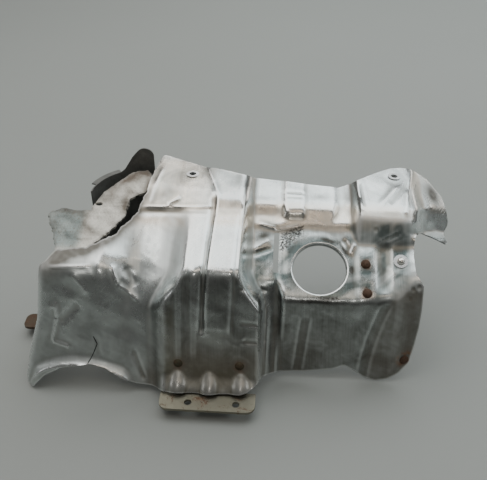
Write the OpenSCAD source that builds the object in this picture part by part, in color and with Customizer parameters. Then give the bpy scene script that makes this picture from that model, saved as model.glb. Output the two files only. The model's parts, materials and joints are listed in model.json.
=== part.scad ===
// Exhaust heat shield: a pressed aluminium sheet with brackets, rivets, eyelets, rear wall and torn mat.
// X runs along the shield, Y away from its front wall, Z up. The shield stands as it rests on a table.
// The sheet is a height w over a tilted press plane with the coordinates x and q.

/* [Pressed sheet] */
// Thickness of the pressed sheet
sheet_t = 1.2; // [1:0.1:1.5]
// Height of the hood's front edge
hood_h = 115; // [112:1:119]
// Height of the ribbed block's front edge
block_h = 122; // [119:1:125]
// Height of the hole panel's front edge
panel_h = 84.6; // [82:0.2:87]
// Height of the top flange at the block
flange_h = 149; // [147:0.5:151]
// Height of the top flange above the hole panel
dip_h = 137.5; // [136:0.5:139.5]
// Height of the top flange at the right eyelet
corner_h = 143.5; // [142:0.5:145]
// Height of the arch in the hood's lower edge
arch_h = 27; // [20:1:29]

/* [Beads and pockets] */
// Height of the three beads at the block's foot
bead_h = 4.5; // [3:0.5:6]
// Width of each foot bead
bead_w = 18; // [14:1:20]
// Distance between the foot beads
bead_pitch = 27.7; // [24:0.1:29]
// Width of the raised strip on the block
strip_w = 23.5; // [18:0.5:26]
// Height of the raised strip
strip_h = 1.8; // [1:0.1:2.5]
// Height of the wide bead across the top flange
cross_h = 2.2; // [1:0.1:3]
// Depth of the narrow grooves
groove_h = 2; // [1:0.1:2.6]
// Depth of the channel beside the bolts
channel_h = 3; // [1.5:0.1:3.6]
// Width of the channel beside the bolts
channel_w = 10; // [8:0.5:11]

/* [Openings] */
// Inner diameter of the sensor port
port_d = 47.5; // [42:0.5:50]
// Depth of the port's turned-in lip
port_lip = 4; // [3:0.5:6]
// Width of the slot
slot_w = 4.8; // [4.4:0.2:6]
// Length of the slot
slot_l = 39; // [34:1:42]

/* [Fasteners] */
// Bore of the two eyelets
eye_bore = 6.5; // [6:0.1:7]
// Wall of an eyelet's barrel
eye_wall = 0.8; // [0.6:0.1:1]
// Diameter of an eyelet's flange
eye_rim_d = 12; // [11:0.5:14]
// Thickness of an eyelet's flange
eye_rim_t = 0.8; // [0.6:0.1:1.2]
// Diameter of the rusty heads of the panel rivets
rust_head_d = 8.6; // [8:0.2:11]
// Height of the rusty heads
rust_head_h = 2.6; // [2:0.2:4]
// Shank diameter of all rivets
shank_d = 4.8; // [4:0.2:5.4]
// Diameter of the rivets' upset tails
tail_d = 7.6; // [7:0.2:9]
// Height of the upset tails
tail_h = 1.6; // [1:0.2:2.4]
// Diameter of the domed rivet's head
dome_d = 7.4; // [7:0.2:9]
// Height of the domed rivet's head
dome_h = 3; // [2:0.2:3.6]
// Diameter of the washer under the domed rivet
washer_d = 12.5; // [11:0.5:14]
// Thickness of that washer
washer_t = 0.8; // [0.6:0.1:1.2]
// Diameter of the flat heads of the bracket rivets
flat_head_d = 8; // [7.5:0.5:10]
// Height of the flat heads
flat_head_h = 1.4; // [1:0.2:2]
// Clearance around shanks and between seated faces
fit = 0.15; // [0.1:0.05:0.2]

/* [Front bracket] */
// Length of the bracket's plate
plate_w = 84; // [80:1:88]
// Thickness of the bracket's steel
plate_t = 2.5; // [2:0.1:2.7]
// Height of the plate's underside above the table
plate_lift = 10; // [9:0.1:10.4]
// Distance of the plate's front edge from the sheet's zero line
plate_front = 121; // [119:0.5:125]
// Length of the upright leaf up the wall
leaf_h = 34; // [30:1:38]
// Width of the upright leaf
leaf_w = 68; // [66:1:72]
// Inner radius of the brackets' bends
bend_r = 3; // [2:0.2:3.4]
// Diameter of the bracket's bolt holes
bolt_hole_d = 6.5; // [6:0.1:7.5]
// Distance between the bracket's bolt holes
bolt_pitch = 42; // [38:1:48]
// Distance of the bolt holes from the plate's front edge
bolt_inset = 8.2; // [7:0.2:10]
// Radius of the plate's front corners
corner_r = 8; // [5:0.5:10]
// Distance between the rivets of the front bracket
rivet_pitch = 54; // [52:0.5:56]

/* [Side bracket] */
// Width of the side bracket
tab_w = 20; // [18:1:22]
// Thickness of the side bracket
tab_t = 2.5; // [2:0.1:3]
// Reach of the side bracket's tab
tab_reach = 14; // [12:1:18]
// Height of the tab's underside above the table
tab_lift = 9; // [7:0.5:10]
// Length of the side bracket's leaf up the end wall
tab_leaf = 14; // [13:0.5:15]

/* [Rear wall and mat] */
// Thickness of the rear wall
rear_t = 1.2; // [1:0.1:1.5]
// Height of the rear wall's top edge
rear_h = 136; // [130:1:140]
// Height of the collar's top edge
collar_h = 145; // [140:1:148]
// Height of the ear above the table
ear_h = 168; // [160:1:172]
// Width of the ear
ear_w = 25; // [22:1:28]
// Radius of the collar at the rear wall's left end
collar_r = 48; // [47:0.5:50]
// Width of the collar's rolled rim
rim_w = 5; // [3:0.5:7]
// Height of the collar's lower edge above the table
collar_lift = 62; // [50:1:80]
// Width of the tab under the top flange
hang_w = 30; // [26:1:34]
// Thickness of the fibre mat
mat_t = 3; // [2.4:0.1:4]

/* [Hidden] */
aluminium = "#b9bcbd";
dark_aluminium = "#8f9294";
rusty_steel = "#8a7a66";
rust = "#6b4630";
fibre = "#c9c6ba";

// tilt of the press plane's height direction: q climbs the sheet, w stands out from it
PHI = 55;
// the frame's origin is the middle of the footprint, seen from the sheet's own coordinates
ORIGIN = [-8.95, -14.87, 0];

function sstep(t) = let(c = min(1, max(0, t))) c*c*(3 - 2*c);
function band(t, a, b, s) = sstep((t - a)/s + 0.5)*sstep((b - t)/s + 0.5);
function softplus(t, r) = (t + sqrt(t*t + r*r))/2;
function mix(a, b, t) = a*(1 - t) + b*t;
// between a place (y, z) in the section and the press plane's (q, w)
function to_qw(p) = [p.x*cos(PHI) + p.y*sin(PHI), -p.x*sin(PHI) + p.y*cos(PHI)];
function place(x, q, w) = [x, q*cos(PHI) - w*sin(PHI), q*sin(PHI) + w*cos(PHI)];

// Sections across the shield as (y, z): toe, front edge, panel top, riser top, ledge, brow, back
HOOD = [[-95, 0], [-62, hood_h], [5, hood_h + 28], [6, hood_h + 30], [9, hood_h + 31], [22, flange_h + 2],
    [100, flange_h + 2]];
VALLEY = [[-95, 0], [-64, hood_h - 19], [0, flange_h - 9], [2, flange_h - 6.5], [6, flange_h - 5],
    [22, flange_h + 2], [100, flange_h + 2]];
FLANK = [[-95, 0], [-62, hood_h - 18], [3, flange_h - 9], [5, flange_h - 6.5], [8, flange_h - 5],
    [22, flange_h], [100, flange_h]];
BLOCK_EDGE = [[-103, 0], [-66, block_h], [3, flange_h - 9], [5, flange_h - 6.5], [8, flange_h - 5],
    [20, flange_h], [100, flange_h]];
BLOCK = [[-103, 0], [-66, block_h], [0, flange_h - 9.5], [1, flange_h - 8.5], [2, flange_h - 8],
    [10, flange_h], [100, flange_h]];
SIDE = [[-92, 0], [-41, panel_h + 9], [2, dip_h - 17.5], [4, dip_h - 13], [13, dip_h - 11], [22, dip_h],
    [100, dip_h + 3]];
SIDE_END = [[-76, 0], [-40.5, panel_h + 9], [2, dip_h - 17.5], [4, dip_h - 13], [13, dip_h - 11],
    [22, dip_h], [100, dip_h + 2]];
PANEL = [[-66, 0], [-55, panel_h], [4, dip_h - 16], [6, dip_h - 12], [8.5, dip_h - 11], [17.5, dip_h - 1],
    [100, dip_h + 1.5]];
LEDGE = [[-66, 0], [-55, panel_h], [4, dip_h - 16], [6, dip_h - 11], [19, dip_h - 7.5], [23.5, dip_h - 2.5],
    [100, dip_h + 1.5]];
POCKET = [[-66, 0], [-55, panel_h], [-7.5, corner_h - 29], [-0.5, corner_h - 5], [3, corner_h - 4],
    [8, corner_h], [100, corner_h + 0.5]];
POCKET_END = [[-66, 0], [-51, panel_h + 3.4], [-8, corner_h - 29.5], [-1, corner_h - 6],
    [3.3, corner_h - 5], [8.5, corner_h], [100, corner_h + 0.5]];
CORNER = [[-63, 0], [-41, panel_h + 12.4], [-7, corner_h - 29.5], [-1, corner_h - 7.5],
    [3.6, corner_h - 6.5], [9, corner_h - 1.5], [100, corner_h - 0.5]];
WING = [[-63, 0], [-41, panel_h + 12.4], [-7, corner_h - 31.5], [5, corner_h - 21.5], [12, corner_h - 15.5],
    [22, corner_h - 6.5], [100, corner_h - 1.5]];
// along the shield: place x, section, softness of its front edge
STATIONS = [[-215, HOOD, 4], [-150, HOOD, 5], [-120, HOOD, 12], [-84, VALLEY, 30], [-60, FLANK, 20],
    [-42, BLOCK_EDGE, 7], [-30, BLOCK_EDGE, 7], [-24, BLOCK, 7], [2, BLOCK, 7], [13, SIDE, 6],
    [32, SIDE_END, 6], [45, PANEL, 5], [82, PANEL, 5], [92, LEDGE, 5], [100, LEDGE, 5],
    [108, POCKET, 5], [140, POCKET_END, 6], [158, CORNER, 9], [172, WING, 9], [225, WING, 9]];
// softness of the other edges: panel top, riser top, ledge, brow
SOFT = [3, 3, 3, 4];
// the block is wider at its foot than at its top edge: x at the foot, and the section that stands there
FOOT_X = [[-215, -215], [-116, -116], [-78, -60], [-60, -42], [-40, -30], [21, 2], [42, 45], [90, 90],
    [225, 225]];

function station_index(x, i = 0) = i >= len(STATIONS) - 2 || x < STATIONS[i + 1][0] ? i
    : station_index(x, i + 1);
function section_x(x, q) = mix(x, lookup(x, FOOT_X), sstep((66 - q)/44));
// the section as straight runs joined by soft bends
function section_w(x, q) =
    let(i = station_index(x),
        t = sstep((x - STATIONS[i][0])/(STATIONS[i + 1][0] - STATIONS[i][0])),
        pts = [for (k = [0:6]) to_qw(mix(STATIONS[i][1][k], STATIONS[i + 1][1][k], t))],
        soft = concat([mix(STATIONS[i][2], STATIONS[i + 1][2], t)], SOFT),
        slope = [for (k = [0:5]) (pts[k + 1].y - pts[k].y)/(pts[k + 1].x - pts[k].x)],
        bends = [for (k = [1:5]) (slope[k] - slope[k - 1])*softplus(q - pts[k].x, soft[k - 1])])
    pts[0].y + slope[0]*(q - pts[0].x) + bends*[1, 1, 1, 1, 1];

// Beads, grooves and pockets, as heights added to the sections
ARCH_X = -138;
ARCH_W = 100;
ARCH_FOOT_Q = -56;
MID_BEAD_X = -21;
STRIP_X = -13.2;
STRIP_LEAN = 0.03;
function arch_q(x) = ARCH_FOOT_Q + arch_h*sqrt(max(0, 1 - pow((x - ARCH_X)/(ARCH_W/2), 2)));
function arch_flare(x, q) = 5*band(x, -184, -94, 14)*pow(1 - min(1, max(0, (q - arch_q(x))/11)), 2);
function lip_flare(x, q) = 5.5*band(x, -66, 22, 12)*sstep((-30 - q)/20);
function foot_bead(x, q, xc) = bead_h*max(0, 1 - pow((x - xc)/(bead_w/2), 2) - pow(max(0, q + 44)/17, 2));
function foot_beads(x, q) = foot_bead(x, q, MID_BEAD_X - bead_pitch) + foot_bead(x, q, MID_BEAD_X)
    + foot_bead(x, q, MID_BEAD_X + bead_pitch);
function strip_x(x, q) = x - STRIP_X - STRIP_LEAN*(q - 60);
function block_strip(x, q) = strip_h*band(strip_x(x, q), -strip_w/2, strip_w/2, 4)*band(q, 8, 110, 8);
function strip_groove(x, q) = -groove_h*band(strip_x(x, q), -strip_w/2 - 3.5, -strip_w/2 + 0.5, 3)
    *band(q, 8, 128, 8);
function wall_lines(x, q) = (band(x, -51, -45, 4) + band(x, -38, -32, 4))*band(q, -16, 62, 12);
function flange_groove(x, q) = -1.25*groove_h*band(x, 1.5, 5.5, 3)*band(q, 124, 300, 8);
function cross_bead(x, q) = cross_h*band(x, 39, 58, 5)*band(q, 112, 300, 10);
function dark_groove(x, q) = -groove_h*band(x, 88, 97, 4)*band(q, 120, 300, 8);
function corner_bead(x, q) = 1.8*band(x, 104, 111, 5)*band(q, 122, 300, 10);
CHANNEL_X = 129.5;
function channel(x, q) = -channel_h*band(x, CHANNEL_X - channel_w/2, CHANNEL_X + channel_w/2, 5)
    *band(q, 50, 89, 8);
function rivet_pad(x, q) = band(x, 106, 122, 8)*band(q, 36, 84, 12);
function wall_groove(x, q) = -0.75*groove_h*band(x - 0.1*q, 56.5, 63, 4)*band(q, -30, 20, 8);
function lobe_x(q) = 117 + 0.0042*pow(max(0, q + 36), 1.9);
function lobe_groove(x, q) = -0.9*groove_h*band(x - lobe_x(q), -3.5, 3.5, 5)*band(q, -40, 34, 10);
// the wing folds down to the right of a crease, and the hood's end wall turns back at its corner
function wing_fold(x, q) = -0.9*sstep((q - 92)/12)*softplus(x - 152 - 0.14*(q - 112), 4);
END_X = [[-60, -196], [-18, -187], [11, -178], [63, -172.5], [120, -170]];
function end_turn(x, q) = let(e = lookup(q, END_X)) x < e + 30 ? -5*softplus(e - x, 4) : 0;

function height(x, q) = section_w(section_x(x, q), q) + arch_flare(x, q) + lip_flare(x, q) + foot_beads(x, q)
    + block_strip(x, q) + strip_groove(x, q) + wall_lines(x, q) + flange_groove(x, q) + cross_bead(x, q)
    + dark_groove(x, q) + corner_bead(x, q) + channel(x, q) + rivet_pad(x, q) + wall_groove(x, q)
    + lobe_groove(x, q) + wing_fold(x, q) + end_turn(x, q);
function skin(x, q) = place(x, q, height(x, q));
function unit(v) = v/norm(v);
function normal(x, q, e = 1) = unit(cross(skin(x + e, q) - skin(x - e, q), skin(x, q + e) - skin(x, q - e)));

// Grid lines of the sheet, close together where it bends: start, end, step
X_RUNS = [[-210, -186, 4], [-186, -118, 8.5], [-118, -66, 7.4], [-66, 0, 4.7], [0, 36, 3], [36, 60, 4.8],
    [60, 84, 8], [84, 114, 3.75], [114, 138, 4.8], [138, 152, 7], [152, 206, 6.75]];
Q_RUNS = [[-64, -18, 5.1], [-18, 26, 11], [26, 64, 4.2], [64, 98, 11.3], [98, 130, 4], [130, 178, 9.6]];
function grid_lines(runs) = concat([for (r = runs) let(n = round((r[1] - r[0])/r[2])) each
    [for (i = [0:n - 1]) r[0] + (r[1] - r[0])*i/n]], [runs[len(runs) - 1][1]]);

// The trimmed edge on the press plane: x, q, corner radius
OUTLINE = [[-184.3, -54.1, 2], [-171, -40.6, 12], [-153, -31.6, 14], [-128, -27.4, 14],
    [-114.7, -30.4, 12], [-101.7, -39.5, 12], [-89, -44.8, 10], [-74, -45.8, 8], [-61, -47.7, 6],
    [-21, -47.9, 30], [7, -46.8, 6], [13, -44.7, 8], [20, -39, 6], [26, -32.5, 6], [60, -30.8, 20],
    [89, -26.8, 12], [99.5, -22.2, 5], [108.2, -27, 10], [118, -33.3, 10], [129, -36.3, 10],
    [140, -34, 10], [149.5, -28.5, 10], [158.3, -17.7, 10], [161.6, 0.5, 10], [163.6, 16.6, 10],
    [164.3, 32.5, 10], [164, 53.8, 5], [157.1, 65.6, 6], [155.9, 80.4, 8], [157.5, 98, 4],
    [165, 102, 7], [174.7, 99.1, 14], [185.5, 92.2, 1], [198.5, 111.5, 10], [194.5, 138, 14],
    [180.7, 157.2, 12], [164.9, 164.9, 5], [152, 165.8, 12], [141.6, 164.6, 10], [123.9, 157.5, 10],
    [101.6, 146.6, 8], [90.1, 142.1, 6], [58.3, 144.8, 8], [38, 147.2, 2], [5.5, 149.6, 2],
    [-27.2, 157.1, 10], [-35.9, 157.3, 4], [-82.6, 170.7, 3], [-85.9, 152.2, 10], [-87.1, 128.1, 12],
    [-95.1, 107.2, 10], [-111.7, 87.4, 10], [-129.9, 77.9, 8], [-158.3, 74.1, 5], [-165.5, 64.5, 3],
    [-180, 52, 8], [-194, 26, 6], [-199, 6, 5], [-198.2, -13, 6], [-194.5, -33, 6], [-188.5, -50, 3]];

// a polygon whose corners are rounded by arcs
function rounded(pts, steps = 4) = [for (i = [0:len(pts) - 1])
    let(p = [pts[i].x, pts[i].y], a = pts[(i + len(pts) - 1) % len(pts)], b = pts[(i + 1) % len(pts)],
        va = [a.x, a.y] - p, vb = [b.x, b.y] - p, ua = unit(va), ub = unit(vb),
        half = acos(max(-1, min(1, ua*ub)))/2,
        cut = min(pts[i].z/tan(half), 0.45*norm(va), 0.45*norm(vb)), r = cut*tan(half),
        c = p + unit(ua + ub)*(r/sin(half)),
        s = p + ua*cut - c, e = p + ub*cut - c, n = r < 0.4 ? 1 : steps,
        turn = atan2(s.x*e.y - s.y*e.x, s*e))
    each [for (k = [0:n]) let(w = turn*k/n) c + [s.x*cos(w) - s.y*sin(w), s.x*sin(w) + s.y*cos(w)]]];

// Places of the holes and fasteners on the press plane
PORT = [72.6, 66];
SLOT = [33.4, 78.6];
PANEL_RIVETS = [[113.3, 71.4], [114.4, 46.3]];
DOMED_RIVET = [144.2, 74.9];
CORNER_RIVET = [153.7, -14.8];
EYE_LEFT = [-48.8, 149];
EYE_RIGHT = [143.5, 155];
SIDE_RIVET = [-194, 6];
// the end wall is hollow there, so the side bracket's leaf stands off by this much
SIDE_SEAT = 0.7;
BRACKET_X = -21.4;
BOLT_X = -17.1;
RIVET_Q = -21.5;

// stands its children on the sheet's outer face, with their Z along the sheet's normal
module on_sheet(p, e = 3) {
    n = normal(p.x, p.y, e);
    translate(skin(p.x, p.y)) rotate([0, acos(n.z), atan2(n.y, n.x)]) children();
}

// a grid of points given a thickness below it, as one closed solid
module thick_grid(outer, thick) {
    nx = len(outer[0]);
    nq = len(outer);
    inner = [for (j = [0:nq - 1]) for (i = [0:nx - 1])
        let(du = outer[j][min(nx - 1, i + 1)] - outer[j][max(0, i - 1)],
            dv = outer[min(nq - 1, j + 1)][i] - outer[max(0, j - 1)][i])
        outer[j][i] - thick*unit(cross(du, dv))];
    count = nx*nq;
    quads = [for (j = [0:nq - 2]) for (i = [0:nx - 2])
        [j*nx + i, (j + 1)*nx + i, (j + 1)*nx + i + 1, j*nx + i + 1]];
    rim = concat([for (i = [0:nx - 2]) [i, i + 1]],
        [for (j = [0:nq - 2]) [j*nx + nx - 1, (j + 1)*nx + nx - 1]],
        [for (i = [nx - 1:-1:1]) [(nq - 1)*nx + i, (nq - 1)*nx + i - 1]],
        [for (j = [nq - 1:-1:1]) [j*nx, (j - 1)*nx]]);
    low = [for (f = quads) f + [count, count, count, count]];
    faces = concat([for (f = quads) each [[f[0], f[1], f[3]], [f[1], f[2], f[3]]]],
        [for (f = low) each [[f[0], f[3], f[1]], [f[1], f[3], f[2]]]],
        [for (e = rim) each [[e[0], e[1], count + e[1]], [e[0], count + e[1], count + e[0]]]]);
    polyhedron(concat([for (row = outer) each row], inner), faces, convexity = 8);
}

module sheet_blank() {
    xs = grid_lines(X_RUNS);
    qs = grid_lines(Q_RUNS);
    thick_grid([for (q = qs) [for (x = xs) skin(x, q)]], sheet_t);
}

// the press direction as the Z of an extrusion
module press() {
    rotate([PHI, 0, 0]) translate([0, 0, -60]) children();
}

// a hole of diameter d along the sheet's normal at p
module hole_at(p, d, e = 3) {
    on_sheet(p, e) cylinder(d = d, h = 16, center = true, $fn = 32);
}

module port_tube(d) {
    on_sheet(PORT) translate([0, 0, -sheet_t - port_lip])
        cylinder(d = d, h = port_lip + sheet_t/2, $fn = 64);
}

module shield_shell() color(aluminium) {
    difference() {
        union() {
            intersection() {
                sheet_blank();
                press() linear_extrude(260) polygon(rounded(OUTLINE));
            }
            port_tube(port_d + 2*sheet_t);
        }
        on_sheet(PORT) cylinder(d = port_d, h = 30, center = true, $fn = 64);
        on_sheet(SLOT) cube([slot_l, slot_w, 30], center = true);
        for (p = concat(PANEL_RIVETS, BRACKET_RIVETS, [DOMED_RIVET, CORNER_RIVET]))
            hole_at(p, shank_d + 2*fit);
        hole_at(SIDE_RIVET, shank_d + 2*fit, 9);
        for (p = [EYE_LEFT, EYE_RIGHT]) eye_at(p) cylinder(d = eye_bore + 2*eye_wall + 2*fit, h = 16,
            center = true, $fn = 32);
    }
}

// Fasteners, drawn with Z = 0 on the outer face that their head seats on
module dome(d, h) {
    r = (d*d/4 + h*h)/(2*h);
    intersection() {
        translate([0, 0, h - r]) sphere(r, $fn = 48);
        cylinder(d = d, h = h, $fn = 48);
    }
}

module rivet(head_d, head_h, grip) {
    translate([0, 0, fit]) dome(head_d, head_h);
    translate([0, 0, -grip - fit - tail_h/2])
        cylinder(d = shank_d, h = grip + 2*fit + tail_h/2 + head_h/4, $fn = 24);
    translate([0, 0, -grip - fit - tail_h]) cylinder(d = tail_d, h = tail_h, $fn = 24);
}

// the left eyelet stands upright, square to the tab that it holds
module eye_at(p) {
    if (p == EYE_LEFT) translate(skin(p.x, p.y)) children();
    else on_sheet(p) children();
}

module eyelet(p, grip) color(aluminium) eye_at(p) {
    difference() {
        union() {
            translate([0, 0, fit]) cylinder(d = eye_rim_d, h = eye_rim_t, $fn = 48);
            translate([0, 0, -grip - fit])
                cylinder(d = eye_bore + 2*eye_wall, h = grip + 2*fit + eye_rim_t, $fn = 48);
            translate([0, 0, -grip - fit - eye_rim_t]) cylinder(d = eye_rim_d - 1, h = eye_rim_t, $fn = 48);
        }
        cylinder(d = eye_bore, h = 20, center = true, $fn = 48);
    }
}

module eyelet_left() eyelet(EYE_LEFT, sheet_t + 3*fit + rear_t);
module eyelet_right() eyelet(EYE_RIGHT, sheet_t + 2*fit);

module panel_rivets() color(rust) for (p = PANEL_RIVETS) on_sheet(p)
    rivet(rust_head_d, rust_head_h, sheet_t);
module corner_rivet() color(rust) on_sheet(CORNER_RIVET) translate([0, 0, 3.5*fit])
    rivet(rust_head_d, rust_head_h/2, sheet_t + 3.5*fit);
module bracket_rivets() color(rusty_steel) for (p = BRACKET_RIVETS)
    on_sheet(p) rivet(flat_head_d, flat_head_h, sheet_t + 4*fit + plate_t);
module domed_rivet() color(aluminium) on_sheet(DOMED_RIVET) translate([0, 0, washer_t + 2*fit])
    rivet(dome_d, dome_h, sheet_t + washer_t + 2*fit);
module rivet_washer() color(dark_aluminium) on_sheet(DOMED_RIVET) translate([0, 0, 2*fit]) difference() {
    cylinder(d = washer_d, h = washer_t, $fn = 48);
    cylinder(d = shank_d + 2*fit, h = 4*washer_t, center = true, $fn = 24);
}
// the side rivet's head seats on the bracket's leaf outside the end wall
module side_rivet() color(rust) on_sheet(SIDE_RIVET, 9) translate([0, 0, tab_t + SIDE_SEAT])
    rivet(flat_head_d, flat_head_h, sheet_t + tab_t + SIDE_SEAT + 0.3);

// A bent strap about its bend's axis: the leaf runs to -Y, the bend turns by angle, then the tab runs on
module bent_strap(leaf, leaf_wide, tab, tab_wide, t, angle, round_r) {
    translate([bend_r, -leaf, -leaf_wide/2]) cube([t, leaf + 0.02, leaf_wide]);
    rotate_extrude(angle = angle, $fn = 48) translate([bend_r, -leaf_wide/2]) square([t, leaf_wide]);
    rotate([0, 0, angle]) translate([bend_r, 0, 0]) rotate([90, 0, 90]) linear_extrude(t)
        polygon(rounded([[-0.02, -tab_wide/2, 1], [tab, -tab_wide/2, round_r], [tab, tab_wide/2, round_r],
            [-0.02, tab_wide/2, 1]], 8));
}

// the block's wall in section: its slope, and the leaf's face behind it
BRACKET_RIVETS = [for (s = [-1, 1]) [BRACKET_X + s*rivet_pitch/2, RIVET_Q]];
WALL_SLOPE = atan2(BLOCK[1].y - BLOCK[0].y, BLOCK[1].x - BLOCK[0].x);
BEND_Z = plate_lift + plate_t + bend_r;
LEAF_OFF = sheet_t + 4*fit - bend_r;
BEND_Y = BLOCK[0].x + (BEND_Z + LEAF_OFF*cos(WALL_SLOPE))/tan(WALL_SLOPE) + LEAF_OFF*sin(WALL_SLOPE);

module front_bracket() color(rusty_steel) {
    s = sin(WALL_SLOPE);
    c = cos(WALL_SLOPE);
    difference() {
        multmatrix([[0, 0, -1, BRACKET_X], [s, -c, 0, BEND_Y], [-c, -s, 0, BEND_Z], [0, 0, 0, 1]])
            bent_strap(leaf_h, leaf_w, plate_front + BEND_Y, plate_w, plate_t, WALL_SLOPE, corner_r);
        for (s = [-1, 1]) translate([BOLT_X + s*bolt_pitch/2, bolt_inset - plate_front, plate_lift - 1])
            cylinder(d = bolt_hole_d, h = plate_t + 2, $fn = 48);
        for (p = BRACKET_RIVETS) hole_at(p, shank_d + 2*fit);
    }
}

module side_bracket() color(rusty_steel) {
    n = normal(SIDE_RIVET.x, SIDE_RIVET.y, 9);
    p = skin(SIDE_RIVET.x, SIDE_RIVET.y);
    lean = acos(n.z);
    // how far down the wall the bend's axis lies, and how far out
    out = SIDE_SEAT + tab_t + bend_r;
    down = (p.z + out*n.z - tab_lift - tab_t - bend_r)/sin(lean);
    difference() {
        on_sheet(SIDE_RIVET, 9) multmatrix([[0, 1, 0, down], [0, 0, -1, 0], [-1, 0, 0, out], [0, 0, 0, 1]])
            bent_strap(tab_leaf, tab_w - 4, tab_reach, tab_w, tab_t, lean, tab_w/2 - 0.5);
        on_sheet(SIDE_RIVET, 9) cylinder(d = shank_d + 2*fit, h = 30, center = true, $fn = 24);
    }
}

// The rear wall: a straight wall under the top flange that turns forward into a collar
REAR_Y = 64;
REAR_END_X = -10;
COLLAR = [-92, REAR_Y - collar_r];
EAR_X = -101;
RIB_X = [-30, -62];
HANG_X = -57;
function rib_out(x) = 4*max([for (c = RIB_X) 1 - pow(min(1, abs(x - c)/8), 2)]);
REAR_PATH = concat([for (x = [REAR_END_X:-2:COLLAR.x + 2]) [x, REAR_Y + rib_out(x)]],
    [for (a = [90:7.5:180]) COLLAR + collar_r*[cos(a), sin(a)]]);
// a path given a width to its left, as a closed outline
function ribbon(path, wide) = concat(path, [for (i = [len(path) - 1:-1:0])
    let(d = unit(path[min(len(path) - 1, i + 1)] - path[max(0, i - 1)])) path[i] + wide*[-d.y, d.x]]);

module rear_wall() color(dark_aluminium) {
    difference() {
        linear_extrude(ear_h) polygon(ribbon(REAR_PATH, rear_t));
        // above the top edge only the ear stands
        difference() {
            translate([-160, 0, rear_h]) cube([200, 90, 60]);
            translate([EAR_X, 100, 0]) rotate([90, 0, 0]) linear_extrude(60) polygon(rounded([
                [-0.8*ear_w, 100, 0], [ear_w/2, 100, 0], [ear_w/2, ear_h - 4, 8], [0.05*ear_w, ear_h, 8],
                [-0.3*ear_w, ear_h - 9, 12], [-0.62*ear_w, collar_h + 2, 5], [-0.8*ear_w, collar_h - 1, 3]],
                6));
            translate([-160, 0, rear_h - 1]) cube([160 + COLLAR.x, 90, collar_h + 1 - rear_h]);
        }
        // the collar is cut free above the table
        translate([-160, 0, -1]) cube([-160*-1 + COLLAR.x, REAR_Y + 1, collar_lift + 1]);
        translate([-160, REAR_Y - 20, -1]) cube([160 + COLLAR.x, 40, collar_lift + 1]);
    }
    // rolled rim around the collar
    translate([COLLAR.x, COLLAR.y, collar_h - rear_t]) rotate_extrude(angle = 38, $fn = 64, start = 126)
        translate([collar_r - 0.2, 0]) square([rim_w, rear_t]);
    // tab that hangs the wall on the left eyelet
    hang();
}

module hang() {
    eye = skin(EYE_LEFT.x, EYE_LEFT.y);
    z = eye.z - sheet_t - 3*fit - rear_t;
    front = eye.y - 0.95*eye_rim_d;
    difference() {
        union() {
            translate([HANG_X - hang_w/2, front, z]) cube([hang_w, REAR_Y + rear_t - front, rear_t]);
            translate([HANG_X - hang_w/2, REAR_Y, rear_h - 4])
                cube([hang_w, rear_t, z + 4 + rear_t - rear_h]);
        }
        eye_at(EYE_LEFT) cylinder(d = eye_bore + 2*eye_wall + 2*fit, h = 16, center = true, $fn = 32);
    }
}

// The fibre mat lined the sheet: it follows the sheet's own form, lower where the sheet is torn off
MAT_X = [[-182, -82, 6]];
MAT_Q = [[62, 162, 6]];
MAT_OUTLINE = [[-158, 66, 4], [-160.5, 76, 3], [-169.7, 92.4, 6], [-176.6, 107.9, 3], [-170, 109, 2],
    [-162, 111.5, 3], [-150, 109.5, 3], [-137.5, 110.5, 2], [-133.3, 120, 5], [-128.2, 127.9, 5],
    [-117.8, 138.3, 6], [-108.5, 149.7, 5], [-94, 153, 4], [-86.5, 144, 4], [-89.5, 129, 3],
    [-95, 127.5, 3], [-103.5, 122.5, 4], [-105.5, 115, 4], [-105, 107, 4], [-111, 98.4, 6],
    [-120, 88.1, 5], [-131, 77.5, 4], [-133, 66, 3]];
function mat_height(x, q) = let(free = sstep((q - 74)/10))
    mix(height(x, q), section_w(x, q) - 5.5, free) - 1.4*sheet_t - 3*fit
    + 1.1*free*sin(14*x + 5*q)*cos(17*q - 4*x);
function mat_skin(x, q) = place(x, q, mat_height(x, q));

module insulation_mat() color(fibre) intersection() {
    thick_grid([for (q = grid_lines(MAT_Q)) [for (x = grid_lines(MAT_X)) mat_skin(x, q)]], mat_t);
    press() linear_extrude(260) polygon(rounded(MAT_OUTLINE, 3));
}

// every node is drawn about the middle of its footprint
module in_frame() {
    translate(-ORIGIN) children();
}

in_frame() shield_shell();
in_frame() rear_wall();
in_frame() insulation_mat();
in_frame() front_bracket();
in_frame() side_bracket();
in_frame() bracket_rivets();
in_frame() side_rivet();
in_frame() panel_rivets();
in_frame() domed_rivet();
in_frame() rivet_washer();
in_frame() corner_rivet();
in_frame() eyelet_left();
in_frame() eyelet_right();
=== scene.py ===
"""Looks of a used exhaust heat shield: the pressed sheet, its rear wall, torn mat, brackets and fasteners.

The sheet is a height w over a tilted press plane with the coordinates x (along the shield) and q (up the
plane). All sizes in the classes are millimetres; meshes are made in metres, in the frame of the solids.
"""
from __future__ import annotations

import json
import logging
import math
from dataclasses import dataclass, field
from enum import Enum
from functools import reduce
from typing import Callable

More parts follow.
